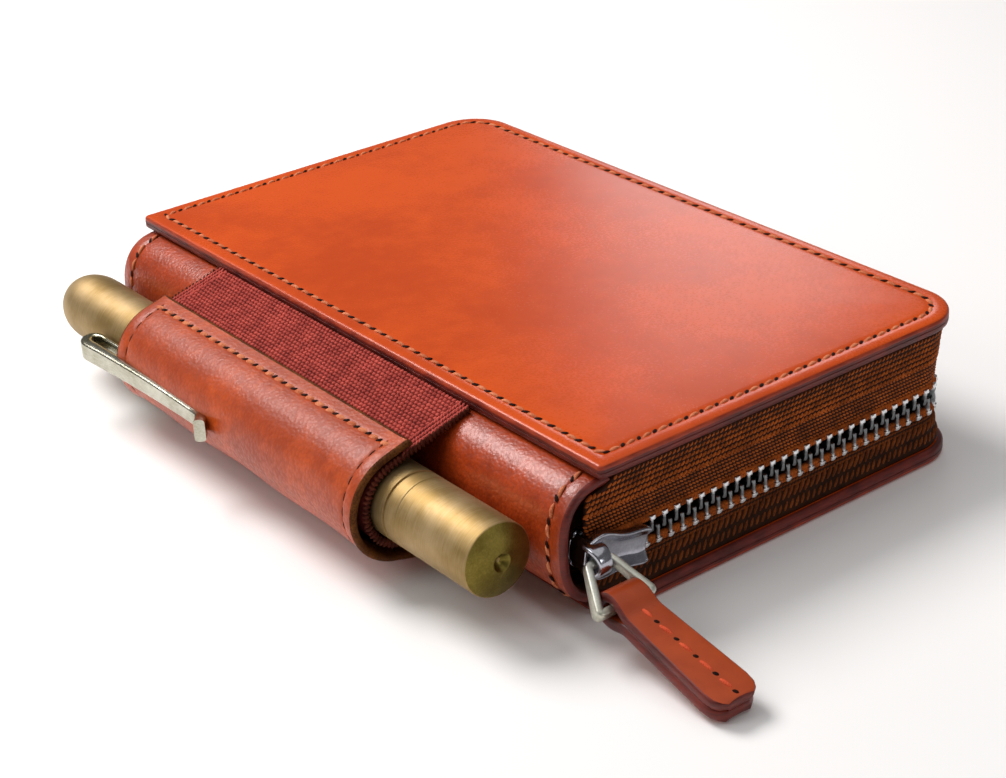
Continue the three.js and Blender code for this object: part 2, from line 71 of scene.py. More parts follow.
camera = {"place": (-218.087, -284.437, 182.906), "azimuth": -36.535, "elevation": 26.921, "roll": -3.14,
          "lens": 77.665}


def makeCamera():
    azimuth, elevation, roll = (math.radians(camera[key]) for key in ("azimuth", "elevation", "roll"))
    ahead = Vector((-math.sin(azimuth) * math.cos(elevation),
                    math.cos(azimuth) * math.cos(elevation), -math.sin(elevation)))
    right = Vector((math.cos(azimuth), math.sin(azimuth), 0))
    up = right.cross(ahead)
    rolledRight = right * math.cos(roll) + up * math.sin(roll)
    rolledUp = up * math.cos(roll) - right * math.sin(roll)
    data = bpy.data.cameras.new("camera")
    data.lens = camera["lens"]
    data.sensor_width = 36
    data.clip_start = 0.01
    eye = bpy.data.objects.new("camera", data)
    eye.rotation_euler = Matrix((rolledRight, rolledUp, -ahead)).transposed().to_euler()
    eye.location = Vector(camera["place"]) * mm
    scene.collection.objects.link(eye)
    scene.camera = eye


light = {
    "key": {"from": (-160, 350, 500), "size": 340, "power": 3.7, "colour": (1, 0.965, 0.96)},
    "glow": {"from": (408, 376, 236), "size": 150, "power": 0.2, "colour": (1, 0.95, 0.98)},
    "left": {"from": (-480, 60, 380), "size": 280, "power": 0.6, "colour": (1, 0.99, 0.975)},
    "roof": {"from": (0, 0, 3000), "size": 5000, "power": 36, "colour": (1, 0.99, 0.98)},
    "near": {"from": (60, -520, 190), "size": 160, "power": 0.28, "colour": (0.97, 0.98, 1)},
}
room = {"colour": (1, 1, 1), "strength": 0.16, "floor": (0.93, 0.925, 0.915), "floorSize": 30000}


def makeLights():
    for name, lamp in light.items():
        data = bpy.data.lights.new(name, "AREA")
        data.shape = "DISK"
        data.size = lamp["size"] * mm
        data.energy = lamp["power"]
        data.color = lamp["colour"]
        place = Vector(lamp["from"]) * mm
        lampObject = bpy.data.objects.new(name, data)
        lampObject.location = place
        lampObject.rotation_euler = (-place).to_track_quat("-Z", "Y").to_euler()
        scene.collection.objects.link(lampObject)
    world = bpy.data.worlds.new("room")
    world.use_nodes = True
    world.node_tree.nodes["Background"].inputs["Color"].default_value = (*room["colour"], 1)
    world.node_tree.nodes["Background"].inputs["Strength"].default_value = room["strength"]
    scene.world = world
    scene.view_settings.view_transform = "Standard"


# Node writing


class Flow:
    # one output socket, so that node values can be added, multiplied and divided

    def __init__(self, nodes, socket):
        self.nodes = nodes
        self.socket = socket

    def __add__(self, other):
        return self.nodes.maths("ADD", self, other)

    def __radd__(self, other):
        return self.nodes.maths("ADD", other, self)

    def __sub__(self, other):
        return self.nodes.maths("SUBTRACT", self, other)

    def __rsub__(self, other):
        return self.nodes.maths("SUBTRACT", other, self)

    def __mul__(self, other):
        return self.nodes.maths("MULTIPLY", self, other)

    def __rmul__(self, other):
        return self.nodes.maths("MULTIPLY", other, self)

    def __truediv__(self, other):
        return self.nodes.maths("DIVIDE", self, other)

    def __rtruediv__(self, other):
        return self.nodes.maths("DIVIDE", other, self)


class Nodes:
    # writes nodes into one tree

    def __init__(self, tree):
        self.tree = tree

    def add(self, kind, settings=None, inputs=None, output=0):
        node = self.tree.nodes.new(kind)
        for key, value in (settings or {}).items():
            setattr(node, key, value)
        for key, value in (inputs or {}).items():
            if isinstance(value, Flow):
                self.tree.links.new(value.socket, node.inputs[key])
            else:
                node.inputs[key].default_value = value
        return Flow(self, node.outputs[output])

    def maths(self, operation, a, b=0.0):
        return self.add("ShaderNodeMath", {"operation": operation}, {0: a, 1: b})

    def place(self, stretch=(1, 1, 1)):
        spot = self.add("ShaderNodeTexCoord", output="Object")
        return self.add("ShaderNodeMapping", inputs={"Vector": spot, "Scale": stretch})

    def noise(self, spot, size, detail=3.0, roughness=0.5):
        return self.add("ShaderNodeTexNoise", None, {
            "Vector": spot, "Scale": 1 / (size * mm), "Detail": detail, "Roughness": roughness})

    def cells(self, spot, size):
        return self.add("ShaderNodeTexVoronoi", {"feature": "SMOOTH_F1"}, {
            "Vector": spot, "Scale": 1 / (size * mm), "Smoothness": 0.35})

    def between(self, share, low, high):
        return self.add("ShaderNodeMapRange", None, {"Value": share, "To Min": low, "To Max": high})

    def step(self, value, low, high):
        return self.add("ShaderNodeMapRange", {"interpolation_type": "SMOOTHSTEP"}, {
            "Value": value, "From Min": low, "From Max": high})

    def tint(self, share, a, b):
        a = a if isinstance(a, Flow) else (*a, 1)
        b = b if isinstance(b, Flow) else (*b, 1)
        return self.add("ShaderNodeMix", {"data_type": "RGBA"}, {0: share, 6: a, 7: b}, 2)

    def bump(self, height, depth):
        return self.add("ShaderNodeBump", None, {"Height": height, "Distance": depth * mm, "Strength": 1.0})


def shade(red, green, blue):
    # a colour as seen on a screen, 0 to 255, in the linear values that shaders use
    return tuple(c / 255 / 12.92 if c < 11 else ((c / 255 + 0.055) / 1.055) ** 2.4
                 for c in (red, green, blue))


def finish(name, write, **fixed):
    # a material whose varying sockets come from write(nodes), and whose other sockets are plain numbers
    material = bpy.data.materials.new(name)
    material.use_nodes = True
    shader = material.node_tree.nodes["Principled BSDF"]
    nodes = Nodes(material.node_tree)
    for key, value in fixed.items():
        shader.inputs[key.replace("_", " ")].default_value = value
    for key, flow in write(nodes).items():
        if isinstance(flow, Flow):
            material.node_tree.links.new(flow.socket, shader.inputs[key])
        else:
            shader.inputs[key].default_value = flow
    return material


# Finishes


def smoothLeather(tone, dark, gloss):
    # full-grain leather, burnished smooth, with cloudy dye and fine pores
    def write(nodes):
        spot = nodes.place()
        cloud = nodes.noise(spot, 34, 4, 0.55)
        fine = nodes.noise(spot, 3.2, 3)
        pores = nodes.cells(spot, 0.75)
        grain = nodes.noise(spot, 0.5, 4, 0.6)
        dye = nodes.step(cloud * 0.75 + fine * 0.25, 0.36, 0.66)
        colour = nodes.tint(0.45 + dye * 0.55, dark, tone)
        speck = nodes.step(nodes.noise(spot, 1.3, 2), 0.62, 0.78)
        colour = nodes.tint(speck * 0.2, colour, dark)
        height = pores * 0.35 + grain * 0.5 + fine * 0.6
        return {
            "Base Color": colour,
            "Roughness": nodes.between(cloud * 0.5 + grain * 0.5, gloss, gloss + 0.14),
            "Coat Weight": nodes.between(fine, 0.02, 0.08),
            "Normal": nodes.bump(height, 0.025),
        }
    return write


def pebbledLeather(tone, dark, gloss):
    # softer leather with a raised pebble grain and shallow creases
    def write(nodes):
        spot = nodes.place()
        warp = nodes.noise(spot, 2.4, 2)
        pebble = nodes.cells(spot, 0.7)
        small = nodes.cells(spot, 0.36)
        cloud = nodes.noise(spot, 16, 4, 0.6)
        crease = nodes.noise(nodes.place((1, 0.3, 1)), 3.5, 4, 0.7)
        dye = nodes.step(cloud * 0.7 + warp * 0.3, 0.36, 0.68)
        valley = nodes.step(pebble, 0.35, 0.8)
        colour = nodes.tint(0.3 + dye * 0.7, dark, tone)
        # the valleys between the pebbles are darkened: painted shade in the grain's hollows
        colour = nodes.tint(valley * 0.3, colour, dark)
        height = 1 - pebble * 0.7 - small * 0.25 + crease * 0.5
        return {
            "Base Color": colour,
            "Roughness": nodes.between(valley * 0.6 + warp * 0.4, gloss, gloss + 0.18),
            "Coat Weight": nodes.between(warp, 0.14, 0.3),
            "Normal": nodes.bump(height, 0.1),
        }
    return write


def edgePaint(tone, dark):
    # burnished and painted cut edge, with the fibres' lines still showing
    def write(nodes):
        streak = nodes.noise(nodes.place((0.12, 0.12, 1)), 0.35, 3)
        patch = nodes.noise(nodes.place(), 5, 3)
        return {
            "Base Color": nodes.tint(nodes.step(patch * 0.6 + streak * 0.4, 0.35, 0.68), dark, tone),
            "Roughness": nodes.between(patch, 0.34, 0.56),
            "Normal": nodes.bump(streak * 0.6 + patch * 0.4, 0.06),
        }
    return write


def rawEdge(tone, dark):
    # the unpainted edge of vegetable-tanned leather
    def write(nodes):
        fibre = nodes.noise(nodes.place(), 0.4, 4, 0.7)
        patch = nodes.noise(nodes.place(), 3, 2)
        return {
            "Base Color": nodes.tint(nodes.step(fibre * 0.6 + patch * 0.4, 0.38, 0.66), dark, tone),
            "Roughness": nodes.between(fibre, 0.6, 0.85),
            "Normal": nodes.bump(fibre, 0.08),
        }
    return write


def fabricThread(tone, dark):
    # waxed or spun thread: fine fibres and a little unevenness in the dye
    def write(nodes):
        spot = nodes.place()
        fibre = nodes.noise(spot, 0.22, 3, 0.6)
        patch = nodes.noise(spot, 2.6, 3)
        return {
            "Base Color": nodes.tint(nodes.step(fibre * 0.55 + patch * 0.45, 0.34, 0.68), dark, tone),
            "Roughness": nodes.between(fibre, 0.55, 0.8),
            "Normal": nodes.bump(fibre, 0.06),
        }
    return write


def suede(tone, dark):
    def write(nodes):
        nap = nodes.noise(nodes.place(), 0.3, 4, 0.7)
        stroke = nodes.noise(nodes.place((1, 0.4, 1)), 9, 3)
        return {
            "Base Color": nodes.tint(nodes.step(nap * 0.4 + stroke * 0.6, 0.35, 0.68), dark, tone),
            "Roughness": nodes.between(nap, 0.8, 0.98),
            "Normal": nodes.bump(nap, 0.08),
        }
    return write


def turnedMetal(tone, dark, low, high, stretch, size=0.28):
    # metal turned on a lathe or drawn through a die, with a light patina
    def write(nodes):
        marks = nodes.noise(nodes.place(stretch), size, 3, 0.6)
        patina = nodes.noise(nodes.place(), 9, 4, 0.6)
        scratch = nodes.noise(nodes.place(tuple(0.3 + 0.7 * axis for axis in stretch)), 0.9, 2)
        return {
            "Base Color": nodes.tint(nodes.step(patina * 0.7 + marks * 0.3, 0.35, 0.68), dark, tone),
            "Roughness": nodes.between(marks * 0.5 + patina * 0.5, low, high),
            "Normal": nodes.bump(marks * 0.7 + scratch * 0.3, 0.0025),
        }
    return write


def toothMetal(tone, dark):
    # bright, and darker and rougher in a band centred 2.4 mm below the case's middle height
    def write(nodes):
        level = nodes.add("ShaderNodeSeparateXYZ", None, {"Vector": nodes.place()}, "Z")
        away = nodes.maths("ABSOLUTE", level - float(midHeight * mm) + 2.4 * mm)
        pad = nodes.step(away, 1.2 * mm, 1.9 * mm)
        spots = nodes.noise(nodes.place(), 1.2, 3)
        return {
            "Base Color": nodes.tint(pad * 0.8 + spots * 0.2, dark, tone),
            "Roughness": nodes.between(1 - pad, 0.16, 0.3),
            "Normal": nodes.bump(spots, 0.004),
        }
    return write


def moulded(tone, dark):
    def write(nodes):
        grain = nodes.noise(nodes.place(), 0.5, 3)
        return {
            "Base Color": nodes.tint(grain, dark, tone),
            "Roughness": nodes.between(grain, 0.22, 0.36),
            "Normal": nodes.bump(grain, 0.004),
        }
    return write


def plainFloor():
    def write(nodes):
        cloud = nodes.noise(nodes.place(), 400, 2)
        pale = room["floor"]
        return {"Base Color": nodes.tint(cloud, pale, tuple(0.985 * c for c in pale)), "Roughness": 0.75}
    return write


def makeFinishes():
    cognac, cognacDark = shade(204, 77, 13), shade(164, 52, 7)
    matt = {"Specular_IOR_Level": 0.1}
    return {
        "cover": finish("cognac_panel", smoothLeather(cognac, cognacDark, 0.2),
                        Coat_Roughness=0.3, Specular_IOR_Level=0.26),
        "spine": finish("cognac_pebbled", pebbledLeather(shade(178, 64, 16), shade(120, 36, 7), 0.3),
                        Coat_Roughness=0.24, Specular_IOR_Level=0.4),
        "sleeve": finish("sleeve_pebbled", pebbledLeather(shade(190, 76, 20), shade(134, 44, 10), 0.36),
                         Coat_Roughness=0.36, Specular_IOR_Level=0.28),
        "tab": finish("tab_leather", smoothLeather(shade(172, 66, 14), shade(122, 38, 7), 0.32),
                      Coat_Roughness=0.3, Specular_IOR_Level=0.4),
        "edge": finish("burgundy_edge", edgePaint(shade(118, 38, 26), shade(72, 18, 13)),
                       Specular_IOR_Level=0.35),
        # a paler copy of the edge colour for the covers' rounded upper arris: a painted highlight
        "lip": finish("edge_painted_highlight", edgePaint(shade(172, 62, 26), shade(128, 38, 14)),
                      Specular_IOR_Level=0.35),
        "raw": finish("raw_edge", rawEdge(shade(112, 66, 26), shade(66, 34, 12)), **matt),
        "thread": finish("tan_thread", fabricThread(shade(224, 142, 102), shade(176, 88, 54)), **matt),
        "tabThread": finish("orange_thread", fabricThread(shade(220, 92, 58), shade(176, 60, 34)), **matt),
        "sideThread": finish("dark_thread", fabricThread(shade(104, 48, 26), shade(58, 22, 12)), **matt),
        # near-black grains stand for the needle holes, which have no depth: painted shade
        "hole": finish("shaded_needle_hole", rawEdge(shade(44, 16, 8), shade(22, 8, 4)), **matt),
        "webbing": finish("maroon_webbing", fabricThread(shade(202, 90, 78), shade(148, 56, 50)), **matt),
        "webbingBase": finish("maroon_ground", fabricThread(shade(108, 38, 34), shade(70, 22, 21)), **matt),
        "overlock": finish("overlock_thread", fabricThread(shade(104, 48, 30), shade(56, 22, 14)), **matt),
        "tape": finish("tape_ground", fabricThread(shade(56, 26, 9), shade(32, 14, 5)), **matt),
        "tapeRib": finish("tape_rib", fabricThread(shade(196, 98, 36), shade(112, 52, 15)), **matt),
        # a darker copy of the rib colour for the back tape's ribs: painted shade on the lower tape
        "shadedTapeTwill": finish("shaded_tape_twill", fabricThread(shade(136, 68, 24), shade(80, 36, 10)), **matt),
        "nickel": finish("bright_nickel", turnedMetal(shade(186, 186, 194), shade(132, 132, 142),
                                                      0.1, 0.22, (1, 1, 1)), Metallic=1),
        "teeth": finish("tooth_nickel", toothMetal(shade(226, 226, 228), shade(96, 98, 100)), Metallic=1),
        "steel": finish("clip_steel", turnedMetal(shade(198, 196, 182), shade(150, 146, 122),
                                                  0.16, 0.28, (1, 0.2, 1)), Metallic=1),
        # a paler copy of the clip's steel for the pull link, so that it reads lit: painted light
        "ring": finish("lit_ring_steel", turnedMetal(shade(232, 232, 222), shade(192, 190, 172),
                                                 0.32, 0.48, (1, 1, 1)), Metallic=1),
        "brass": finish("satin_brass", turnedMetal(shade(180, 156, 116), shade(146, 120, 72),
                                                   0.48, 0.6, (0.05, 1, 0.05), 0.18), Metallic=1),
        # a darker olive brass for the barrel's end face: painted shade on the face turned to the dim near
        # side
        "shadedBrassEnd": finish("shaded_brass_end", turnedMetal(shade(142, 126, 62), shade(98, 84, 34),
                                                    0.36, 0.48, (1, 0.1, 1), 0.3), Metallic=1),
        "black": finish("black_plastic", moulded(shade(34, 33, 34), shade(20, 20, 21))),
        "suede": finish("lining_suede", suede(shade(128, 84, 56), shade(96, 60, 38)), **matt),
        "board": finish("stiffener_board", rawEdge(shade(150, 140, 124), shade(112, 102, 88)), **matt),
        "floor": finish("pale_floor", plainFloor()),
    }


# Mesh writing


def makePiece(name, points, faces, finishes, slots=None, uv=None, smoothUpTo=38):
    mesh = bpy.data.meshes.new(name)
    mesh.from_pydata((np.array(points, float) * mm).tolist(), [], [tuple(map(int, face)) for face in faces])
    for material in finishes:
        mesh.materials.append(material)
    if slots is not None:
        mesh.polygons.foreach_set("material_index", np.array(slots, np.int32))
    if uv is not None:
        layer = mesh.uv_layers.new(name="UVMap")
        corners = np.zeros(len(mesh.loops), np.int32)
        mesh.loops.foreach_get("vertex_index", corners)
        layer.data.foreach_set("uv", np.array(uv, np.float32)[corners].ravel())
    shell = bmesh.new()
    shell.from_mesh(mesh)
    bmesh.ops.recalc_face_normals(shell, faces=shell.faces)
    shell.to_mesh(mesh)
    shell.free()
    mesh.shade_smooth()
    mesh.set_sharp_from_angle(angle=math.radians(smoothUpTo))
    piece = bpy.data.objects.new(name, mesh)
    scene.collection.objects.link(piece)
    return piece


def loft(rings, loop=False):
    # joins rings of equal length with quads, and closes the ends unless the rings meet again
    count, total = len(rings[0]), len(rings)
    points = [point for ring in rings for point in ring]
    faces = []
    for ring in range(total if loop else total - 1):
        ahead = (ring + 1) % total * count
        for k in range(count):
            beside = (k + 1) % count
            faces.append((ring * count + k, ring * count + beside, ahead + beside, ahead + k))
    if not loop:
        faces.append(tuple(reversed(range(count))))
        faces.append(tuple(range((total - 1) * count, total * count)))
    return points, faces


def unit(vectors):
    return vectors / np.maximum(np.linalg.norm(vectors, axis=-1, keepdims=True), 1e-9)


def sheetPiece(name, grid, thickness, finishes, seams=(), rimSteps=4, rimRound=1.0):
    # a skin of even thickness about a grid of points, with rounded rims; a side named in seams stays square
    grid = np.array(grid, float)
    rows, columns = grid.shape[:2]
    across, along = np.gradient(grid, axis=0), np.gradient(grid, axis=1)
    normal = unit(np.cross(across, along))
    inward = np.zeros_like(grid)
    sides = {"start": (slice(0, 1), slice(None), across), "end": (slice(-1, None), slice(None), -across),
             "left": (slice(None), slice(0, 1), along), "right": (slice(None), slice(-1, None), -along)}
    for side, (row, column, direction) in sides.items():
        if side not in seams:
            inward[row, column] += unit(direction)[row, column]
    inward = unit(inward) * thickness / 2 * rimRound
    rim = [(0, k) for k in range(columns)] + [(k, columns - 1) for k in range(1, rows)]
    rim += [(rows - 1, k) for k in range(columns - 2, -1, -1)] + [(k, 0) for k in range(rows - 2, 0, -1)]
    top = grid + normal * thickness / 2 + inward
    bottom = grid - normal * thickness / 2 + inward
    points = list(top.reshape(-1, 3)) + list(bottom.reshape(-1, 3))
    stepU = np.linalg.norm(np.diff(grid, axis=0), axis=2).mean(axis=1)
    stepV = np.linalg.norm(np.diff(grid, axis=1), axis=2).mean(axis=0)
    flatU, flatV = np.append(0, np.cumsum(stepU)) * mm, np.append(0, np.cumsum(stepV)) * mm
    uv = [(flatU[i], flatV[j]) for i in range(rows) for j in range(columns)] * 2
    faces, slots = [], []
    lower = rows * columns
    for i in range(rows - 1):
        for j in range(columns - 1):
            a, b = i * columns + j, (i + 1) * columns + j
            faces += [(a, b, b + 1, a + 1), (lower + a, lower + a + 1, lower + b + 1, lower + b)]
            slots += [0, min(2, len(finishes) - 1)]
    loops = [[i * columns + j for i, j in rim]]
    for step in range(1, rimSteps):
        angle = math.pi / 2 - math.pi * step / rimSteps
        loops.append([len(points) + k for k in range(len(rim))])
        for i, j in rim:
            points.append(grid[i, j] + inward[i, j] * (1 - math.cos(angle))
                          + normal[i, j] * thickness / 2 * math.sin(angle))
            uv.append((flatU[i], flatV[j]))
    loops.append([lower + i * columns + j for i, j in rim])
    for upper, under in zip(loops, loops[1:]):
        for k in range(len(rim)):
            after = (k + 1) % len(rim)
            faces.append((upper[k], upper[after], under[after], under[k]))
            slots.append(min(1, len(finishes) - 1))
    return makePiece(name, points, faces, finishes, slots, uv, 50)


def turnedPiece(name, profile, axis, start, finishes, slots=None, segments=96):
    # a lathe shape about a line along +Y; its profile of [radius, distance] touches the axis at both ends
    points, faces, marks, rings = [], [], [], []
    for radius, distance in profile:
        count = 1 if radius < 1e-6 else segments
        rings.append((len(points), count))
        for k in range(count):
            angle = 2 * math.pi * k / segments
            points.append((axis[0] + radius * math.cos(angle), start + distance,
                           axis[1] + radius * math.sin(angle)))
    for row, ((a, countA), (b, countB)) in enumerate(zip(rings, rings[1:])):
        for k in range(segments):
            after = (k + 1) % segments
            face = [a + k % countA, a + after % countA, b + after % countB, b + k % countB]
            faces.append(tuple(dict.fromkeys(face)))
            marks.append(0 if slots is None else slots[row])
    return makePiece(name, points, faces, finishes, marks, smoothUpTo=30)


def sweepPiece(name, path, side, section, finishes, sizes=None, loop=False, smoothUpTo=40):
    # carries a flat section [out, side] along a path that lies square to the side direction
    path, side = np.array(path, float), np.array(side, float)
    if loop:
        tangent = unit(np.roll(path, -1, axis=0) - np.roll(path, 1, axis=0))
    else:
        tangent = unit(np.gradient(path, axis=0))
    out = np.cross(tangent, side)
    sizes = sizes or [(1, 1)] * len(path)
    rings = [[spot + o * a * sizeOut + side * b * sizeSide for a, b in section]
             for spot, o, (sizeOut, sizeSide) in zip(path, out, sizes)]
    points, faces = loft(rings, loop)
    return makePiece(name, points, faces, finishes, smoothUpTo=smoothUpTo)


def roundedBox(width, height, radius, steps=3):
    # a rectangle's outline with round corners, as [out, side] points
    outline = []
    for quarter, (signX, signY) in enumerate(((1, 1), (-1, 1), (-1, -1), (1, -1))):
        for step in range(steps + 1):
            angle = (quarter + step / steps) * math.pi / 2
            outline.append((signX * (width / 2 - radius) + radius * math.cos(angle),
                            signY * (height / 2 - radius) + radius * math.sin(angle)))
    return outline


def tilted(points, pivot, angle):
    # turns points drawn about the origin round the X axis, and moves them to their pivot
    turn = np.array(Matrix.Rotation(angle, 3, "X"))
    return np.array(points, float) @ turn.T + np.array(pivot)


def smoothed(piece):
    shell = bmesh.new()
    shell.from_mesh(piece.data)
    bmesh.ops.triangulate(shell, faces=[face for face in shell.faces if len(face.verts) > 4])
    shell.to_mesh(piece.data)
    shell.free()
    modifier = piece.modifiers.new("smooth", "SUBSURF")
    modifier.levels = modifier.render_levels = 2
    evaluated = piece.evaluated_get(bpy.context.evaluated_depsgraph_get())
    mesh = bpy.data.meshes.new_from_object(evaluated)
    piece.modifiers.clear()
    piece.data = mesh
    return piece


def stations(length, step, fine=()):
    # places along a length, closer together about each sewn line
    places = set(np.linspace(0, length, max(2, round(length / step) + 1)).round(3))
    for line in fine:
        places = {place for place in places if abs(place - line) > 0.95}
        places |= {round(line + offset, 3) for offset in (-0.8, -0.45, -0.2, 0, 0.2, 0.45, 0.8)}
    return np.array(sorted(place for place in places if 0 <= place <= length))


def groove(distance, width=0.42):
    # how deep a sewn line pulls the leather down, from 0 to 1
    return np.exp(-(np.array(distance) / width) ** 2)


# Repeats along a path, made with geometry nodes


def openTree(name, sockets):
    # a tree with named inputs, and what each input gives
    tree = bpy.data.node_groups.new(name, "GeometryNodeTree")
    for key, kind in sockets.items():
        tree.interface.new_socket(key, in_out="INPUT", socket_type="NodeSocket" + kind)
    tree.interface.new_socket("Made", in_out="OUTPUT", socket_type="NodeSocketGeometry")
    nodes = Nodes(tree)
    return nodes, {key: nodes.add("NodeGroupInput", output=key) for key in sockets}


def spacedLine(nodes, path, spacing):
    line = nodes.add("GeometryNodeMeshToCurve", inputs={"Mesh": path})
    return nodes.add("GeometryNodeResampleCurve", {"mode": "LENGTH"}, {"Curve": line, "Length": spacing})


def closeTree(nodes, made, finishGiven):
    made = nodes.add("GeometryNodeRealizeInstances", inputs={"Geometry": made})
    made = nodes.add("GeometryNodeSetMaterial", inputs={"Geometry": made, "Material": finishGiven})
    nodes.tree.links.new(made.socket, nodes.tree.nodes.new("NodeGroupOutput").inputs["Made"])
    return nodes.tree


def writeRowTree():
    nodes, given = openTree("rowAlongPath", {
        "Path": "Geometry", "Shape": "Object", "Spacing": "Float", "Wobble": "Float", "Uneven": "Float",
        "Seed": "Int", "Finish": "Material"})
    line = spacedLine(nodes, given["Path"], given["Spacing"])
    ahead = nodes.add("GeometryNodeInputTangent")
    lift = nodes.add("GeometryNodeInputNamedAttribute", {"data_type": "FLOAT_VECTOR"}, {"Name": "lift"})
    turn = nodes.add("FunctionNodeAxesToRotation", {"primary_axis": "X", "secondary_axis": "Z"},
                     {"Primary Axis": ahead, "Secondary Axis": lift})
    sway = nodes.add("FunctionNodeRandomValue", {"data_type": "FLOAT_VECTOR"}, {
        "Min": 0 - given["Wobble"], "Max": given["Wobble"], "Seed": given["Seed"]})
    sway = nodes.add("FunctionNodeEulerToRotation", inputs={"Euler": sway})
    turn = nodes.add("FunctionNodeRotateRotation", {"rotation_space": "LOCAL"},
                     {"Rotation": turn, "Rotate By": sway})
    size = nodes.add("FunctionNodeRandomValue", {"data_type": "FLOAT_VECTOR"}, {
        "Min": 1 - given["Uneven"], "Max": 1 + given["Uneven"], "Seed": given["Seed"] + 1})
    shape = nodes.add("GeometryNodeObjectInfo", {"transform_space": "ORIGINAL"},
                      {"Object": given["Shape"], "As Instance": True}, "Geometry")
    row = nodes.add("GeometryNodeInstanceOnPoints", inputs={
        "Points": line, "Instance": shape, "Rotation": turn, "Scale": size})
    return closeTree(nodes, row, given["Finish"])


def writeCordTree():
    nodes, given = openTree("cordAlongPath", {
        "Path": "Geometry", "Radius": "Float", "Sides": "Int", "Waist": "Float", "Lay": "Float",
        "Finish": "Material"})
    line = spacedLine(nodes, given["Path"], given["Lay"] / 4)
    along = nodes.add("GeometryNodeSplineParameter", output="Length")
    swell = nodes.maths("COSINE", along / given["Lay"] * (2 * math.pi))
    line = nodes.add("GeometryNodeSetCurveRadius", inputs={
        "Curve": line, "Radius": given["Radius"] * (1 + swell * given["Waist"])})
    ring = nodes.add("GeometryNodeCurvePrimitiveCircle", {"mode": "RADIUS"}, {
        "Resolution": given["Sides"], "Radius": 1.0})
    cord = nodes.add("GeometryNodeCurveToMesh", inputs={
        "Curve": line, "Profile Curve": ring, "Fill Caps": True,
        "Scale": nodes.add("GeometryNodeInputRadius")})
    return closeTree(nodes, cord, given["Finish"])


def runTree(piece, tree, values):
    # sets a tree's inputs by their identifiers, and keeps its result as the piece's plain mesh
    modifier = piece.modifiers.new("made", "NODES")
    modifier.node_group = tree
    for socket in tree.interface.items_tree:
        if socket.in_out == "INPUT" and socket.name in values:
            modifier[socket.identifier] = values[socket.name]
    depsgraph = bpy.context.evaluated_depsgraph_get()
    made = bpy.data.meshes.new_from_object(piece.evaluated_get(depsgraph), depsgraph=depsgraph)
    piece.modifiers.clear()
    piece.data = made
    return piece


def pathPiece(name, points, edges):
    # bare edges for a tree to follow
    mesh = bpy.data.meshes.new(name)
    mesh.from_pydata((np.array(points, float) * mm).tolist(), edges, [])
    piece = bpy.data.objects.new(name, mesh)
    scene.collection.objects.link(piece)
    return piece


def cordPiece(name, path, radius, finishName, lay, waist):
    # a round cord along an open path, its girth rising and falling with the lay of its strands
    piece = pathPiece(name, path, [(k, k + 1) for k in range(len(path) - 1)])
    runTree(piece, cordTree, {"Radius": radius * mm, "Sides": 12, "Waist": waist, "Lay": lay * mm,
                              "Finish": finishes[finishName]})
    shell = bmesh.new()
    shell.from_mesh(piece.data)
    bmesh.ops.remove_doubles(shell, verts=shell.verts, dist=1e-7)
    bmesh.ops.recalc_face_normals(shell, faces=shell.faces)
    shell.to_mesh(piece.data)
    shell.free()
    piece.data.shade_smooth()
    return piece


def rowPiece(name, shape, rows, finishName, spacing, wobble=0.0, uneven=0.0, seed=1):
    # sets copies of a shape along rows of [points, lifts, closed], each turned to its path and its lift
    points, lifts, edges = [], [], []
    for path, lift, closed in rows:
        first = len(points)
        points += [tuple(spot) for spot in path]
        lifts += [tuple(spot) for spot in lift]
        edges += [(first + k, first + k + 1) for k in range(len(path) - 1)]
        if closed:
            edges.append((len(points) - 1, first))
    piece = pathPiece(name, points, edges)
    lift = piece.data.attributes.new("lift", "FLOAT_VECTOR", "POINT")
    lift.data.foreach_set("vector", np.array(lifts).ravel())
    return runTree(piece, rowTree, {"Shape": shape, "Spacing": spacing * mm, "Wobble": math.radians(wobble),
                                    "Uneven": uneven, "Seed": seed, "Finish": finishes[finishName]})


def grainShape(name, length, width, height, dip=0.0, slant=0.0, rings=5, sides=6):
    # a rounded grain lying along X, such as a stitch, a woven float or a needle hole
    loops = []
    for place in np.linspace(-1, 1, rings):
        full = max(0.3, (1 - abs(place) ** 3) ** 0.5)
        loop = []
        for k in range(sides):
            angle = 2 * math.pi * k / sides
            loop.append((place * length / 2, width / 2 * full * math.cos(angle),
                         height / 2 * full * math.sin(angle) - dip * place ** 2))
        loops.append(loop)
    points, faces = loft(loops)
    turn = np.array(Matrix.Rotation(math.radians(slant), 3, "Z"))
    return makePiece(name, np.array(points) @ turn.T, faces, [finishes["thread"]], smoothUpTo=80)


def clear(*shapes):
    # removes shapes that only served to be copied
    for shape in shapes:
        bpy.data.objects.remove(shape)


def put(piece, body, replaced=()):
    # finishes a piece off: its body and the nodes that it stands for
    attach(piece, body)
    if replaced:
        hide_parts(*replaced)
    return piece


makeCamera()
makeLights()
finishes = makeFinishes()
rowTree, cordTree = writeRowTree(), writeCordTree()
print("camera, lights and finishes ready")


# Covers

cover = {"foreCorner": 9.0, "spineCorner": 1.0, "cornerSteps": 14, "stitchInset": 3.0, "stitchPitch": 3.2,
         "thickness": frontHigh[2] - frontLow[2], "recessInset": 6.5, "recessDepth": 1.3, "dome": 0.3}


def coverRing(inset, height):
    halfWidth, halfLength = frontHigh[0], frontHigh[1]
    ring = []
    for signX, signY, corner in ((1, -1, "foreCorner"), (1, 1, "foreCorner"),
                                 (-1, 1, "spineCorner"), (-1, -1, "spineCorner")):
        reach = max(cover[corner], inset + 0.3)
        start = math.atan2(signY, signX) - math.pi / 4
        for step in range(cover["cornerSteps"] + 1):
            angle = start + step / cover["cornerSteps"] * math.pi / 2
            ring.append((signX * (halfWidth - reach) + (reach - inset) * math.cos(angle),
                         signY * (halfLength - reach) + (reach - inset) * math.sin(angle), height))
    return ring


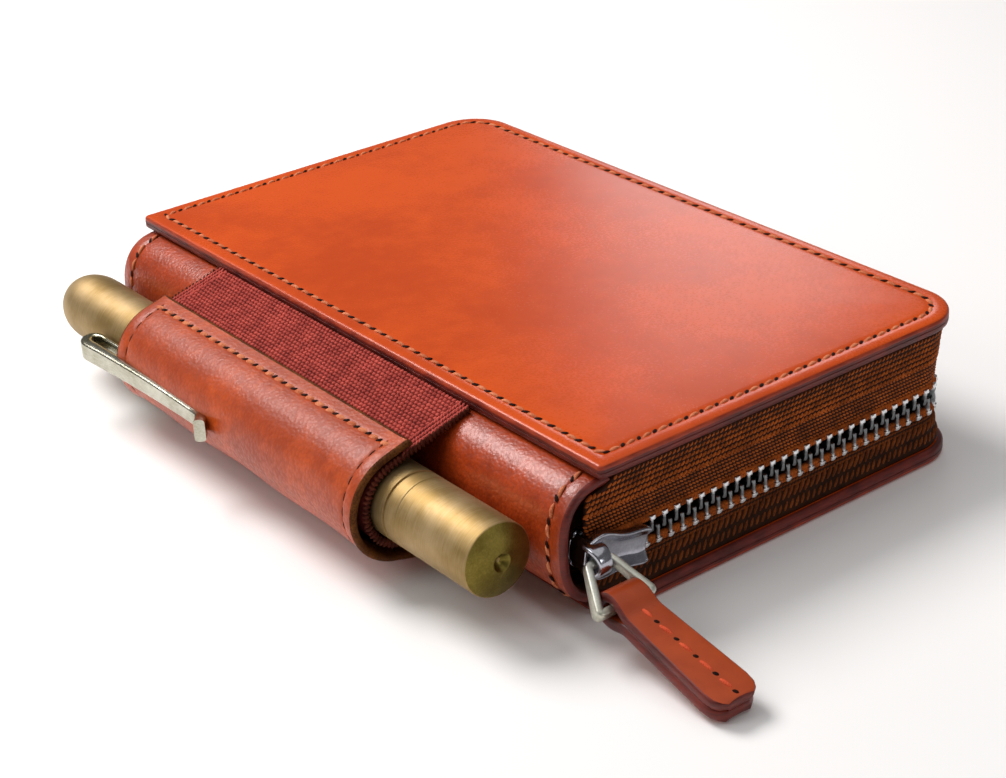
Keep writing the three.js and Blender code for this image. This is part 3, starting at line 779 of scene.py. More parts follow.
def coverProfile(dome):
    # [inset, height, finish] from under the middle, round the edge, to the middle of the outer face
    deep, wide, full = cover["recessDepth"], cover["recessInset"], cover["thickness"]
    line = cover["stitchInset"]
    under = [(38, deep, 0), (wide, deep, 0), (wide, 0, 0), (1.0, 0, 0), (0.35, 0.08, 1), (0.05, 0.4, 1)]
    # the bands marked 2, round the upper arris, take the paler lip colour: a painted highlight
    ply = [(0, 0.75, 1), (0, 1.12, 1), (0.16, 1.19, 1), (0, 1.26, 1), (0, 1.72, 1), (0.04, 2.08, 2)]
    lip = [(0.22, 2.34, 2), (0.5, 2.48, 0), (0.95, 2.55, 0), (1.6, full, 0), (line - 0.55, full - 0.02, 0)]
    sewn = [(line - 0.25, full - 0.12, 0), (line, full - 0.17, 0), (line + 0.25, full - 0.12, 0),
            (line + 0.6, full - 0.01, 0)]
    crown = [(inset, full + share * dome, 0) for inset, share in (
        (4.4, 0.1), (6.5, 0.3), (10, 0.6), (15, 0.82), (22, 0.95), (30, 1), (38, 1))]
    return under + ply + lip + sewn + crown


def makeCover(side, inside, outward):
    dome = cover["dome"] if outward > 0 else 0
    profile = coverProfile(dome)
    rings = [coverRing(inset, inside + outward * height) for inset, height, _ in profile]
    points, faces = loft(rings)
    count = len(rings[0])
    slots = [mark for _, _, mark in profile[1:] for _ in range(count)] + [0, 0]
    # slot 2 is the paler lip colour, a painted highlight on the arris
    piece = makePiece(side + "_cover", points, faces, [finishes["cover"], finishes["edge"], finishes["lip"]],
                      slots, smoothUpTo=60)
    put(piece, side, [side + "_cover_leather"])
    level = inside + outward * (cover["thickness"] - (0.04 if outward > 0 else 0.34))
    path = coverRing(cover["stitchInset"], level)
    lifts = [(0, 0, outward)] * len(path)
    pitch = cover["stitchPitch"]
    sewn = rowPiece(side + "_stitches", stitch, [(path, lifts, True)], "thread", pitch, 4, 0.06, 3)
    put(sewn, side)
    start = (path[0][0] - pitch / 2, path[0][1], path[0][2])  # half a stitch back, to fall between stitches
    path = [start] + path[1:]
    sewn = rowPiece(side + "_stitch_holes", hole, [(path, lifts, True)], "hole", pitch, 6, 0.12, 5)
    put(sewn, side)


stitch = grainShape("stitchShape", 2.3, 0.72, 0.56, dip=0.26, slant=10, rings=7)
# dark grains between the stitches stand for the needle holes: painted shade
hole = grainShape("holeShape", 1.3, 0.62, 0.34, slant=36)
makeCover("front", frontLow[2], 1)
makeCover("back", backHigh[2], -1)
print("covers sewn")


# Spine: a D-shaped skin in two halves

spine = {"bulge": 6.8, "tuck": 2.8, "thickness": 1.6, "setback": 1.3, "roundness": 2.6, "gap": 0.3,
         "hem": 3.5, "stitchPitch": 3.2, "steps": 26}


def spineCurve(share, inset):
    # x and z on the D, from 0 at its upper tuck to 1 at its lower tuck
    angle = (0.5 - share) * math.pi
    across = spine["bulge"] + spine["tuck"] - inset
    up = midHeight - cover["thickness"] - spine["gap"] - inset
    power = 2 / spine["roundness"]
    rise = abs(math.sin(angle)) ** power * (1 if angle > 0 else -1)
    return frontLow[0] + spine["tuck"] - across * abs(math.cos(angle)) ** power, midHeight + up * rise


def spineSection(shares, inset):
    # points across the D, and the outward direction at each
    curve = np.array([spineCurve(share, inset) for share in shares])
    along = np.gradient(curve, axis=0)
    return curve, unit(np.stack([along[:, 1], -along[:, 0]], axis=1))


def spineHalves(tuck):
    # each half's share of the D, its side at the seam, and where it bends from one body to the next
    return (("upper", (tuck, 0.5), "right", ("spine", "front"), midHeight + 2, frontLow[2] - 0.6),
            ("lower", (0.5, 1 - tuck), "left", ("back", "spine"), backHigh[2] + 0.6, midHeight - 2))


def spineGrid(firstShare, lastShare, nearEnd, farEnd, inset, fine=()):
    rows = stations(farEnd - nearEnd, 3.2, fine)
    curve, out = spineSection(np.linspace(firstShare, lastShare, spine["steps"] + 1), inset)
    grid = np.zeros((len(rows), len(curve), 3))
    length = farEnd - nearEnd
    for i, place in enumerate(rows):
        toEnd = min(place, length - place)
        dip = 0.16 * groove(toEnd - spine["hem"]) if fine else 0
        swell = 0.25 * math.sin(math.pi * place / length) if fine else 0
        shift = swell - dip
        grid[i, :, 0] = curve[:, 0] + out[:, 0] * shift
        grid[i, :, 1] = nearEnd + place
        grid[i, :, 2] = curve[:, 1] + out[:, 1] * shift
    return grid


def makeSpine():
    near, far = frontLow[1] + spine["setback"], frontHigh[1] - spine["setback"]
    length = far - near
    lines = (spine["hem"], length - spine["hem"])
    for half, shares, seam, bodies, start, end in spineHalves(0):
        grid = spineGrid(*shares, near, far, spine["thickness"] / 2, lines)
        skin = sheetPiece("spine_leather_" + half, grid, spine["thickness"],
                          [finishes["spine"], finishes["edge"], finishes["suede"]], seams=(seam,))
        pieces = [skin]
        for hem, y in (("near", near + spine["hem"]), ("far", far - spine["hem"])):
            curve, out = spineSection(np.linspace(*shares, 40), -0.08)
            keep = curve[:, 0] < frontLow[0] - 0.6
            path = [(x, y, z) for x, z in curve[keep]]
            lifts = [(ox, 0, oz) for ox, oz in out[keep]]
            for name, shape, sewn, finishName, wobble, uneven, seed in (
                ("stitches", stitch, (path, lifts, False), "thread", 4, 0.06, 7),
                ("holes", hole, (path[2:-1], lifts[2:-1], False), "hole", 6, 0.1, 9),
            ):
                pieces.append(rowPiece(f"spine_{name}_{half}_{hem}", shape, [sewn], finishName,
                                       spine["stitchPitch"], wobble, uneven, seed))
        for piece in pieces:
            start * mm
            end * mm
            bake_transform(piece)
        if half == "lower":
            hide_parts("spine_leather")


makeSpine()
print("spine sewn")


# Pen sleeve: elastic webbing from cover to cover round the pen, with a leather patch over it

barrelLow, barrelHigh = sized("pen_barrel")
capLow, capHigh = sized("pen_cap")
webbingLow, webbingHigh = sized("pen_sleeve_webbing")
pen = {"radius": (barrelHigh[0] - barrelLow[0]) / 2, "x": (barrelHigh[0] + barrelLow[0]) / 2,
       "z": (barrelHigh[2] + barrelLow[2]) / 2, "tail": barrelLow[1]}
sleeve = {"ease": 0.5, "webbing": 1.0, "leather": 1.3, "gap": 0.3, "shown": 11.5, "hem": 2.5,
          "stitchInset": 3.1, "stitchPitch": 3.0, "weavePitch": 0.95, "weaveRow": 0.78, "selvedge": 2.8,
          "slack": 0.8, "tucked": 1.6, "puff": 0.22, "flare": 0.35, "wave": 0.16, "stitchDip": 0.2}
sleeveMiddle = pen["radius"] + sleeve["ease"] + sleeve["webbing"] / 2
sleeveAnchor = (frontLow[0] - sleeve["gap"] - pen["x"], frontLow[2] - pen["z"] + sleeve["gap"])
sleeveTangent = (math.atan2(sleeveAnchor[1], sleeveAnchor[0])
                 + math.acos(sleeveMiddle / math.hypot(*sleeveAnchor)))
sleeveRun = math.sqrt(math.hypot(*sleeveAnchor) ** 2 - sleeveMiddle ** 2)
sleeveTotal = 2 * sleeveRun + sleeveMiddle * 2 * (math.pi - sleeveTangent)


def sleevePlace(s, lift):
    # a point and its outward direction, s along the band's middle from the upper cover, lift above the middle
    if s > sleeveTotal / 2:
        (x, z), (outX, outZ) = sleevePlace(sleeveTotal - s, lift)
        return (x, 2 * pen["z"] - z), (outX, -outZ)
    if s < sleeveRun:
        out = (math.cos(sleeveTangent), math.sin(sleeveTangent))
        ahead = (-out[1], out[0])
        x = sleeveAnchor[0] + ahead[0] * s
        z = sleeveAnchor[1] + ahead[1] * s
    else:
        angle = sleeveTangent + (s - sleeveRun) / sleeveMiddle
        out = (math.cos(angle), math.sin(angle))
        x, z = sleeveMiddle * out[0], sleeveMiddle * out[1]
    return (pen["x"] + x + out[0] * lift, pen["z"] + z + out[1] * lift), out


def bandRow(first, last, step, y, lift):
    # a row round the sleeve at one y
    places = [sleevePlace(s, lift) for s in np.linspace(first, last, max(2, round((last - first) / step)))]
    return [(x, y, z) for (x, z), _ in places], [(outX, 0, outZ) for _, (outX, outZ) in places], False


def bandLine(s, near, far, lift):
    # a row along the pen at one s
    (x, z), (outX, outZ) = sleevePlace(s, lift)
    return [(x, near, z), (x, far, z)], [(outX, 0, outZ)] * 2, False


def makeWebbing():
    near, far = webbingLow[1], webbingHigh[1]
    rows = stations(far - near, 2.5)
    columns = np.linspace(0, sleeveTotal, 80)
    grid = [[(*sleevePlace(s, 0)[0], near + y) for s in columns] for y in rows]
    grid = np.array(grid)[:, :, [0, 2, 1]]
    thin = sleeve["webbing"] - 0.25
    band = sheetPiece("sleeve_webbing", grid, thin, [finishes["webbingBase"]])
    weave = []
    top = thin / 2 + 0.05
    covered = sleeve["shown"] + sleeve["tucked"]
    for k, s in enumerate(np.arange(0.3, covered, sleeve["weaveRow"])):
        shift = (k % 2) * sleeve["weavePitch"] / 2
        weave.append(bandLine(s, near + sleeve["selvedge"] + shift, far - sleeve["selvedge"] + shift, top))
    floats = grainShape("floatShape", sleeve["weavePitch"] * 1.02, 0.8, 0.62, dip=0.14)
    woven = rowPiece("sleeve_weave", floats, weave, "webbing", sleeve["weavePitch"], 5, 0.1, 11)
    oblique = grainShape("selvedgeShape", 1.25, 0.5, 0.45, dip=0.08, slant=28)
    border, loops = [], []
    for end, inward in ((near, 1), (far, -1)):
        border += [bandRow(0.2, covered, 0.5, end + inward * inset, top) for inset in (0.55, 1.45, 2.35)]
        loops.append(bandRow(0.4, sleeveTotal - 0.4, 0.5, end + inward * 0.1, 0))
    edging = rowPiece("sleeve_selvedge", oblique, border, "webbing", 0.62, 5, 0.1, 13)
    wrap = grainShape("wrapShape", 1.5, 0.62, 0.7, dip=0.1)
    wrap.data.transform(Matrix.Rotation(math.pi / 2, 4, "Y"))
    knit = rowPiece("sleeve_overlock", wrap, loops, "overlock", 0.78, 8, 0.1, 15)
    for piece in (band, woven, edging, knit):
        put(piece, "spine")
    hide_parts("pen_sleeve_webbing")
    sleeveTotal * mm
    clear(floats, oblique, wrap)


def onSkin(piece, row):
    # moves a row of stitches on to the surface of a piece, looking inwards from outside it
    path, lifts, closed = row
    tree = BVHTree.FromObject(piece, bpy.context.evaluated_depsgraph_get())
    placed = []
    for spot, lift in zip(path, lifts):
        out = Vector(lift)
        hit, _, _, _ = tree.ray_cast((Vector(spot) + out * 4) * mm, -out)
        placed.append(tuple(hit / mm) if hit else spot)
    return placed, lifts, closed


def sewnRow(piece, first, last, y):
    return onSkin(piece, bandRow(first, last, 0.6, y, 3))


def sewnLine(piece, s, near, far):
    (start, end), lifts, closed = bandLine(s, near, far, 3)
    path = [tuple(np.array(start) + (np.array(end) - start) * share) for share in np.linspace(0, 1, 30)]
    return onSkin(piece, (path, [lifts[0]] * len(path), closed))


def makePatch():
    near, far = webbingLow[1], webbingHigh[1]
    lift = sleeve["webbing"] / 2 + sleeve["gap"] + sleeve["leather"] / 2
    first, last = sleeve["shown"], sleeveTotal - sleeve["hem"]
    line = sleeve["stitchInset"]
    length, around = far - near, last - first
    rows = stations(length, 2.2, (line, length - line))
    columns = stations(around, 0.7, (line, around - line))
    grid = np.zeros((len(rows), len(columns), 3))
    for i, y in enumerate(rows):
        for j, s in enumerate(columns):
            toLine = min(abs(y - line), abs(length - y - line), abs(s - line), abs(around - s - line))
            inside = line - 0.6 < y < length - line + 0.6 and line - 0.6 < s < around - line + 0.6
            endLine = min(abs(y - line), abs(length - y - line)) if line < s < around - line else 9
            sideLine = min(abs(s - line), abs(around - s - line)) if line < y < length - line else 9
            puff = sleeve["puff"] * (1 - math.exp(-max(0, toLine) / 3)) if inside else 0
            low = min(1, max(0, (s - 6) / 14))
            flare = sleeve["flare"] * math.exp(-min(y, length - y) / 1.6)
            flare = (flare + sleeve["slack"] * math.exp(-y / 13)) * low
            wave = sleeve["wave"] * math.sin(y * 0.23 + s * 0.11) * low
            dip = sleeve["stitchDip"] * groove(min(endLine, sideLine))
            (x, z), _ = sleevePlace(first + s, lift - dip + puff + flare + wave)
            grid[i, j] = (x, near + y, z)
    patch = sheetPiece("sleeve_patch", grid, sleeve["leather"],
                       [finishes["sleeve"], finishes["raw"], finishes["raw"]])
    put(patch, "spine", ["pen_sleeve_leather"])
    top = lift + sleeve["leather"] / 2 - 0.04
    rowsTop = [bandLine(first + line, near + line, far - line, top)]
    sides = [sewnRow(patch, first + line, last - line, y) for y in (near + line, far - line)]
    sides.append(sewnLine(patch, last - line, near + line, far - line))
    pitch = sleeve["stitchPitch"]
    holes = [bandLine(first + line, near + line + pitch / 2, far - line - 1.5, top - 0.02)]
    for name, *settings in (
        ("sleeve_stitches", boldStitch, rowsTop, "thread", pitch, 5, 0.08, 17),
        ("sleeve_holes", hole, holes, "hole", pitch, 8, 0.1, 19),
        ("sleeve_side_stitches", fineStitch, sides, "sideThread", pitch * 0.85, 4, 0.08, 21),
    ):
        put(rowPiece(name, *settings), "spine")


boldStitch = grainShape("boldStitchShape", 2.35, 0.92, 0.6, dip=0.24, slant=13, rings=7)
fineStitch = grainShape("fineStitchShape", 2.1, 0.42, 0.34, dip=0.18, rings=7)
makeWebbing()
makePatch()
print("sleeve sewn")


# Zip: tapes, cords, teeth and stops

tapeBackLow, tapeBackHigh = sized("zip_tape_back")
chainBackHigh, chainFrontLow = sized("zip_chain_back")[1], sized("zip_chain_front")[0]
sliderLow, sliderHigh = sized("slider_body")
stopLow, stopHigh = sized("zip_bottom_stop")
zipper = {"inset": 2.5, "topInset": 1.3, "pitch": 2.54, "tape": 0.8, "cord": 1.5, "turnSteps": 14,
          "start": tapeBackLow[0], "reach": 5.2, "ribRow": 1.0, "ribPitch": 0.9, "twillRow": 2.3,
          "twillPitch": 1.27, "closeRow": 0.72, "backCloseRow": 0.7, "closePitch": 0.72,
          "cordLay": 0.62, "cordWaist": 0.07, "toothFoot": 2.05}
seamHeight = (chainBackHigh[2] + chainFrontLow[2]) / 2


def zipLine(inset, height, first, last):
    # from x = first along the near side, round both fore corners, and back along the far side to x = last
    radius = cover["foreCorner"] - inset
    cx, cy = frontHigh[0] - cover["foreCorner"], frontHigh[1] - cover["foreCorner"]
    line = [(x, -cy - radius, height) for x in np.linspace(first, cx, 8)[:-1]]
    line += [(cx + radius * math.cos(a), -cy + radius * math.sin(a), height)
             for a in np.linspace(-math.pi / 2, 0, zipper["turnSteps"])]
    line += [(cx + radius, y, height) for y in np.linspace(-cy, cy, 12)[1:-1]]
    line += [(cx + radius * math.cos(a), cy + radius * math.sin(a), height)
             for a in np.linspace(0, math.pi / 2, zipper["turnSteps"])]
    line += [(x, cy + radius, height) for x in np.linspace(cx, last, 8)[1:]]
    return line


def zipOut(line):
    # the outward direction at each point of a zip line
    along = unit(np.gradient(np.array(line), axis=0))
    return [(a[1], -a[0], 0) for a in along]


def tapeInset(share):
    # how far in the tape stands: 0 at the cover, 1 at the teeth
    return zipper["topInset"] + (zipper["inset"] - zipper["topInset"]) * share ** 0.7


def tapeEnd(height):
    # the tape's ends run on into the hollow of the spine, short of the leather's inner face
    rise = abs(height - midHeight) / (midHeight - cover["thickness"] - spine["gap"] - spine["thickness"])
    if rise >= 1:
        return zipper["start"]
    across = (1 - rise ** spine["roundness"]) ** (1 / spine["roundness"])
    wall = frontLow[0] + spine["tuck"] - (spine["bulge"] + spine["tuck"] - spine["thickness"]) * across
    return min(zipper["start"], max(zipper["start"] - zipper["reach"], wall + 0.8))


def makeTape(side, root, edge):
    # the wall of tape from under a cover (root) to the cord at the teeth (edge)
    up = 1 if edge > root else -1
    shares = np.linspace(0, 1, 9)
    flange = [(zipper["inset"] + 6, root + up * 0.2), (zipper["inset"] + 3, root + up * 0.2),
              (zipper["topInset"] + 0.8, root + up * 0.2), (zipper["topInset"] + 0.2, root + up * 0.35)]
    wall = [(tapeInset(share), root + up * 0.8 + (edge - root - up * 0.8) * share) for share in shares]
    section = flange + wall
    columns = section if up > 0 else section[::-1]
    lines = [zipLine(inset, height, tapeEnd(height), tapeEnd(height)) for inset, height in columns]
    grid = np.array(lines).transpose(1, 0, 2)
    tape = sheetPiece("tape_" + side, grid, zipper["tape"], [finishes["tape"]], rimSteps=3)
    height = abs(edge - root)

    def ribLines(first, last, step, pitch):
        lines = []
        for k, rise in enumerate(np.arange(first, last, step)):
            share = rise / height
            level = root + (edge - root) * share
            inset = tapeInset(share) - zipper["tape"] / 2 + 0.05
            shift = 0.3 + k * 0.37 * pitch
            line = zipLine(inset, level, tapeEnd(level) + shift % pitch, zipper["start"] + 1)
            lines.append((line, zipOut(line), False))
        return lines

    if side == "front":
        middle = height * 0.58
        rib = grainShape("ribShape", 1.3, 0.56, 0.72, dip=0.14, slant=38)
        small = grainShape("fineRibShape", 0.95, 0.42, 0.5, dip=0.1, slant=-24)
        pitch, finishName, uneven = zipper["ribPitch"], "tapeRib", 0.08
        lower = ribLines(0.95, middle, zipper["ribRow"], pitch)
        upper = ribLines(middle + 0.3, height - 0.5, zipper["closeRow"], zipper["closePitch"])
    else:
        rib = grainShape("ribShape", 2.9, 0.62, 0.8, dip=0.1, slant=56)
        small = grainShape("fineRibShape", 0.95, 0.42, 0.5, dip=0.1, slant=24)
        # the back tape's ribs take the darker copy of the rib colour, painted shade
        pitch, finishName, uneven = zipper["twillPitch"], "shadedTapeTwill", 0.06
        lower = ribLines(1.3, height - 1.6, zipper["twillRow"], pitch)
        upper = ribLines(height - 1.25, height - 0.3, zipper["backCloseRow"], zipper["closePitch"])
    woven = rowPiece("tape_ribs_" + side, rib, lower, finishName, pitch, 4, uneven, 23)
    close = rowPiece("tape_weave_" + side, small, upper, finishName, zipper["closePitch"], 4, 0.1, 25)
    cord = zipLine(zipper["inset"], edge + up * 0.5, zipper["start"] + 0.4, zipper["start"] + 0.4)
    rope = cordPiece("tape_cord_" + side, cord, zipper["cord"] / 2, "tapeRib", zipper["cordLay"],
                     zipper["cordWaist"])
    twist = grainShape("twistShape", 0.9, 0.5, 0.4, slant=38)
    outer = zipLine(zipper["inset"] - zipper["cord"] / 2 + 0.02, edge + up * 0.45, zipper["start"] + 0.5,
                    zipper["start"] + 0.5)
    laid = rowPiece("tape_cord_twist_" + side, twist, [(outer, zipOut(outer), False)], "tapeRib",
                    zipper["cordLay"], 5, 0.1, 27)
    pieces = [tape, woven, close, rope, laid]
    for piece in pieces:
        put(piece, side)
    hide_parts("zip_tape_" + side)
    clear(rib, small, twist)


def toothShape():
    # a moulded tooth standing on the cord: a clamping pad, a neck and a rounded head; X is along the zip
    rings = []
    for height, wide, deep in ((-0.55, 0.8, 1.7), (-0.5, 1.15, 2.1), (-0.1, 1.25, 2.35), (0.15, 1.2, 2.3),
                               (0.3, 0.7, 1.9), (1.0, 0.66, 1.85), (1.8, 0.66, 1.85), (2.1, 0.84, 1.7),
                               (2.4, 0.8, 1.55), (2.5, 0.5, 1.1)):
        rings.append([(x, y, height) for x, y in roundedBox(wide, deep, 0.22, 1)])
    points, faces = loft(rings)
    return makePiece("toothShape", points, faces, [finishes["nickel"]], smoothUpTo=45)


def makeTeeth():
    shape = toothShape()
    first = sliderHigh[0] + 0.9
    last = stopHigh[0] + 1.4
    for side, up, offset in (("back", 1, 0), ("front", -1, 0.5)):
        base = seamHeight - up * zipper["toothFoot"]
        line = zipLine(zipper["inset"], base, first + offset * zipper["pitch"], last)
        chain = rowPiece("teeth_" + side, shape, [(line, [(0, 0, up)] * len(line), False)], "teeth",
                         zipper["pitch"], 0.6, 0.01, 29)
        put(chain, side, ["zip_chain_" + side])
    clear(shape)


def makeStop():
    # a small crimped box over the ends of both rows
    middle = (stopLow + stopHigh) / 2
    size = stopHigh - stopLow
    rings = []
    for share, scale in ((-0.5, 0.8), (-0.42, 1), (0, 0.94), (0.42, 1), (0.5, 0.8)):
        rings.append([(middle[0] + share * size[0], middle[1] + y * scale, middle[2] + z * scale)
                      for y, z in roundedBox(size[1], size[2] * 0.8, 0.9, 4)])
    points, faces = loft(rings)
    stop = makePiece("bottom_stop", points, faces, [finishes["nickel"]])
    put(stop, "back", ["zip_bottom_stop"])


makeTape("back", backHigh[2], tapeBackHigh[2])
makeTape("front", frontLow[2], 2 * seamHeight - tapeBackHigh[2])
makeTeeth()
makeStop()
print("zip made")


# Slider, crown, link and tab

crownLow, crownHigh = sized("slider_crown")
pull = {"linkWire": 1.4, "linkLength": 7.5, "linkLean": 52, "tabTop": 6.6, "tabEnd": 9.0, "tabLength": 25.5,
        "tabPly": 1.8, "tabFoldRun": 4.3, "gap": 0.3, "stitchPitch": 3.7,
        "linkSpread": 0.9, "pitch": 11.0, "crownWidth": 2.6, "tabCorner": 3.4}
pull["x"] = (crownLow[0] + crownHigh[0]) / 2


def sliderShare(u):
    # half the slider's height from nose (0) to tail (1): shouldered at the nose and waisted behind it
    knots = [(0, 0.7), (0.08, 0.88), (0.2, 1.02), (0.32, 0.97),
             (0.45, 0.84), (0.6, 0.76), (0.8, 0.78), (1, 0.84)]
    return np.interp(u, *zip(*knots))


def makeSlider():
    size = sliderHigh - sliderLow
    face = sliderLow[1]
    half = size[2] / 2
    rings = []
    for u in (0, 0.04, 0.12, 0.22, 0.34, 0.46, 0.6, 0.76, 0.88, 0.95, 0.985, 1):
        w = half * sliderShare(u) * (1 if u < 0.9 else 1 - 0.16 * ((u - 0.88) / 0.12) ** 2)
        lift = 0.35 * math.exp(-((u - 0.15) / 0.16) ** 2)
        rim = 0.55 + 0.25 * (1 - u)
        dish = 0.45 - lift * 1.6
        outer = [(1.3, w - 0.15), (0.6, w), (-0.1 - rim * 0.5, w - 0.02), (-rim, w - 0.35),
                 (-rim * 0.4, w - 0.85), (dish, w - 1.7), (dish + 0.12, w * 0.25)]
        inner = [(1.3, w - 0.45), (0.85, w - 0.6)]
        ring = outer + [(y, -z) for y, z in outer[::-1]] + [(y, -z) for y, z in inner] + inner[::-1]
        x = sliderLow[0] + size[0] * u
        rings.append([(x, face + y + 0.1, seamHeight + z) for y, z in ring])
    points, faces = loft(rings)
    plate = smoothed(makePiece("slider_plate", points, faces, [finishes["nickel"]]))
    inner = []
    for u in (0, 0.05, 0.2, 0.4, 0.6, 0.8, 0.95, 1):
        w = half * sliderShare(u) * 0.96
        x = sliderLow[0] + size[0] * u
        ring = [(0, w), (-1.3, w), (-1.3, w - 0.9), (-0.75, w - 1.1), (-0.75, -w + 1.1), (-1.3, -w + 0.9),
                (-1.3, -w), (0, -w), (0.1, -w * 0.4), (0.1, w * 0.4)]
        inner.append([(x, sliderHigh[1] + y - 0.1, seamHeight + z) for y, z in ring])
    points, faces = loft(inner)
    backPlate = smoothed(makePiece("slider_back_plate", points, faces, [finishes["nickel"]]))
    rings = []
    depth = sliderHigh[1] - face - 1.2
    for share, tall in ((0, 0.5), (0.04, 0.8), (0.12, 1), (0.3, 0.92), (0.6, 0.5), (0.9, 0.2), (1, 0.12)):
        x = sliderLow[0] + 0.1 + 3.4 * share
        rings.append([(x, face + 0.7 + depth / 2 + y, seamHeight + z * tall)
                      for y, z in roundedBox(depth, half * 1.3, 0.8, 3)])
    points, faces = loft(rings)
    post = makePiece("slider_post", points, faces, [finishes["nickel"]])
    waist = Vector((sliderLow[0] + size[0] * 0.6, 0, seamHeight)) * mm
    pitch = Matrix.Rotation(math.radians(pull["pitch"]), 4, "Y")
    pitch = Matrix.Translation(waist) @ pitch @ Matrix.Translation(-waist)
    for piece in (plate, backPlate, post):
        piece.data.transform(pitch)
        put(piece, "slider")
    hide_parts("slider_body")


def makeCrown():
    # a bridge across the slider's nose, thick at its feet
    base, top = crownHigh[1], crownLow[1]
    middle = (crownLow[2] + crownHigh[2]) / 2
    half = (crownHigh[2] - crownLow[2]) / 2 - 0.5
    crownX = crownHigh[0] - pull["crownWidth"] / 2 + 0.1
    path, sizes = [], []
    for step in range(17):
        angle = math.pi * step / 16
        reach = max(0, math.sin(angle)) ** 0.7
        path.append((crownX, base + 0.7 + (top + 0.5 - base - 0.7) * reach, middle + half * math.cos(angle)))
        sizes.append((1 + 0.25 * abs(math.cos(angle)) ** 3, 1 + 0.3 * abs(math.cos(angle)) ** 3))
    section = roundedBox(1.0, pull["crownWidth"], 0.42, 3)
    crown = sweepPiece("slider_crown_bridge", path, (1, 0, 0), section, [finishes["nickel"]], sizes)
    put(crown, "slider", ["slider_crown"])


def linkPivot():
    lean = math.radians(pull["linkLean"])
    wire = pull["linkWire"]
    y = sliderLow[1] - pull["gap"] - wire * 0.8
    z = (crownLow[2] + crownHigh[2]) / 2
    bar = (pull["x"], y - pull["linkLength"] * math.sin(lean), z - pull["linkLength"] * math.cos(lean))
    return (pull["x"], y, z), bar


def makeLink():
    pivot, _ = linkPivot()
    wire = pull["linkWire"]
    top = (crownHigh[0] - crownLow[0]) / 2 + pull["gap"] + wire / 2
    base = pull["tabTop"] / 2 + pull["gap"] + wire / 2 + pull["linkSpread"]
    end, bend = -pull["linkLength"], 0.6
    corners = [(-top, 0, bend), (-base, end, bend), (base, end, bend), (top, 0, bend)]
    path = roundedPath(corners)
    shares = [min(1, max(0, (abs(x) - top) / 1.2)) for x, _ in path]
    sizes = [(1 + 0.1 * share, 1 + 0.75 * share) for share in shares]
    flat = [(x, y, 0) for x, y in path]
    placed = tilted(flat, pivot, math.radians(90 - pull["linkLean"]))
    side = tilted([(0, 0, 1)], (0, 0, 0), math.radians(90 - pull["linkLean"]))[0]
    section = roundedBox(wire * 0.92, wire * 0.98, 0.34, 3)
    # the link wears the paler, painted-lit copy of the steel
    link = sweepPiece("pull_ring", placed, side, section, [finishes["ring"]], sizes, loop=True, smoothUpTo=50)
    put(link, "link", ["pull_link"])


def roundedPath(corners, steps=6):
    # a closed path whose corners [x, y, radius] are rounded by curves
    path = []
    count = len(corners)
    for k, (x, y, radius) in enumerate(corners):
        here = np.array((x, y))
        before, after = (np.array(corners[(k + turn) % count][:2]) for turn in (-1, 1))
        start = here + unit(before - here) * radius
        end = here + unit(after - here) * radius
        for t in np.linspace(0, 1, steps):
            path.append((1 - t) ** 2 * start + 2 * t * (1 - t) * here + t ** 2 * end)
    return path


def makeTab():
    # a strip folded over the link's long bar, its two plies glued and sewn down their middle
    _, bar = linkPivot()
    eye = pull["linkWire"] * math.sqrt(0.5) + pull["gap"]
    ply, length, run = pull["tabPly"], pull["tabLength"], pull["tabFoldRun"]
    tilt = math.asin((bar[2] - ply - pull["gap"] * 1.5) / length)
    radius, half = eye + ply / 2, ply / 2 + 0.04
    upper = [(-length + 0.2, half), (-length + 1.0, half), (-length + 2, half)]
    upper += [(-length + 2 + (length - 2 - run) * t, half) for t in np.linspace(0, 1, 12)[1:]]
    for t in np.linspace(0, 1, 8)[1:-1]:
        ease = t * t * (3 - 2 * t)
        upper.append((-run + run * t, half + (radius - half) * ease))
    turn = [(radius * math.sin(a), radius * math.cos(a)) for a in np.linspace(0, math.pi / 2, 7)]
    curve = upper + turn
    curve += [(a, -b) for a, b in curve[::-1][1:]]
    columns, corner = [], pull["tabCorner"]
    for a, b in curve:
        share = min(max(-a / length, 0), 1)
        wide = (pull["tabTop"] + (pull["tabEnd"] - pull["tabTop"]) * share) / 2
        toEnd = a + length
        if toEnd < corner:
            wide -= corner - math.sqrt(max(0, corner ** 2 - (corner - toEnd) ** 2))
        columns.append([(x * wide, a, b - 0.12 * abs(x) ** 4 * (1 if b > 0 else -1))
                        for x in (-1, -0.9, -0.7, -0.35, 0, 0.35, 0.7, 0.9, 1)])
    grid = tilted(np.array(columns).transpose(1, 0, 2), bar, tilt)
    tab = sheetPiece("pull_tab_leather", grid, ply, [finishes["tab"], finishes["edge"], finishes["tab"]],
                     rimSteps=6, rimRound=0.45)
    put(tab, "tab", ["pull_tab"])
    for side, lift in (("top", 1), ("under", -1)):
        height = (half + ply / 2 - 0.02) * lift
        up = tilted([(0, 0, lift)], (0, 0, 0), tilt)[0]
        for name, shape, first, last, finishName, wobble, uneven, seed in (
            ("stitches", tabStitch, -run - 0.2, -length + 3.6, "tabThread", 3, 0.05, 31),
            ("holes", tabHole, -run - 0.2 + pull["stitchPitch"] / 2, -length + 1.6, "hole", 4, 0.1, 33),
        ):
            line = tilted([(0, first, height), (0, last, height)], bar, tilt)
            sewn = rowPiece(f"tab_{name}_{side}", shape, [(line, [up, up], False)], finishName,
                            pull["stitchPitch"], wobble, uneven, seed)
            put(sewn, "tab")


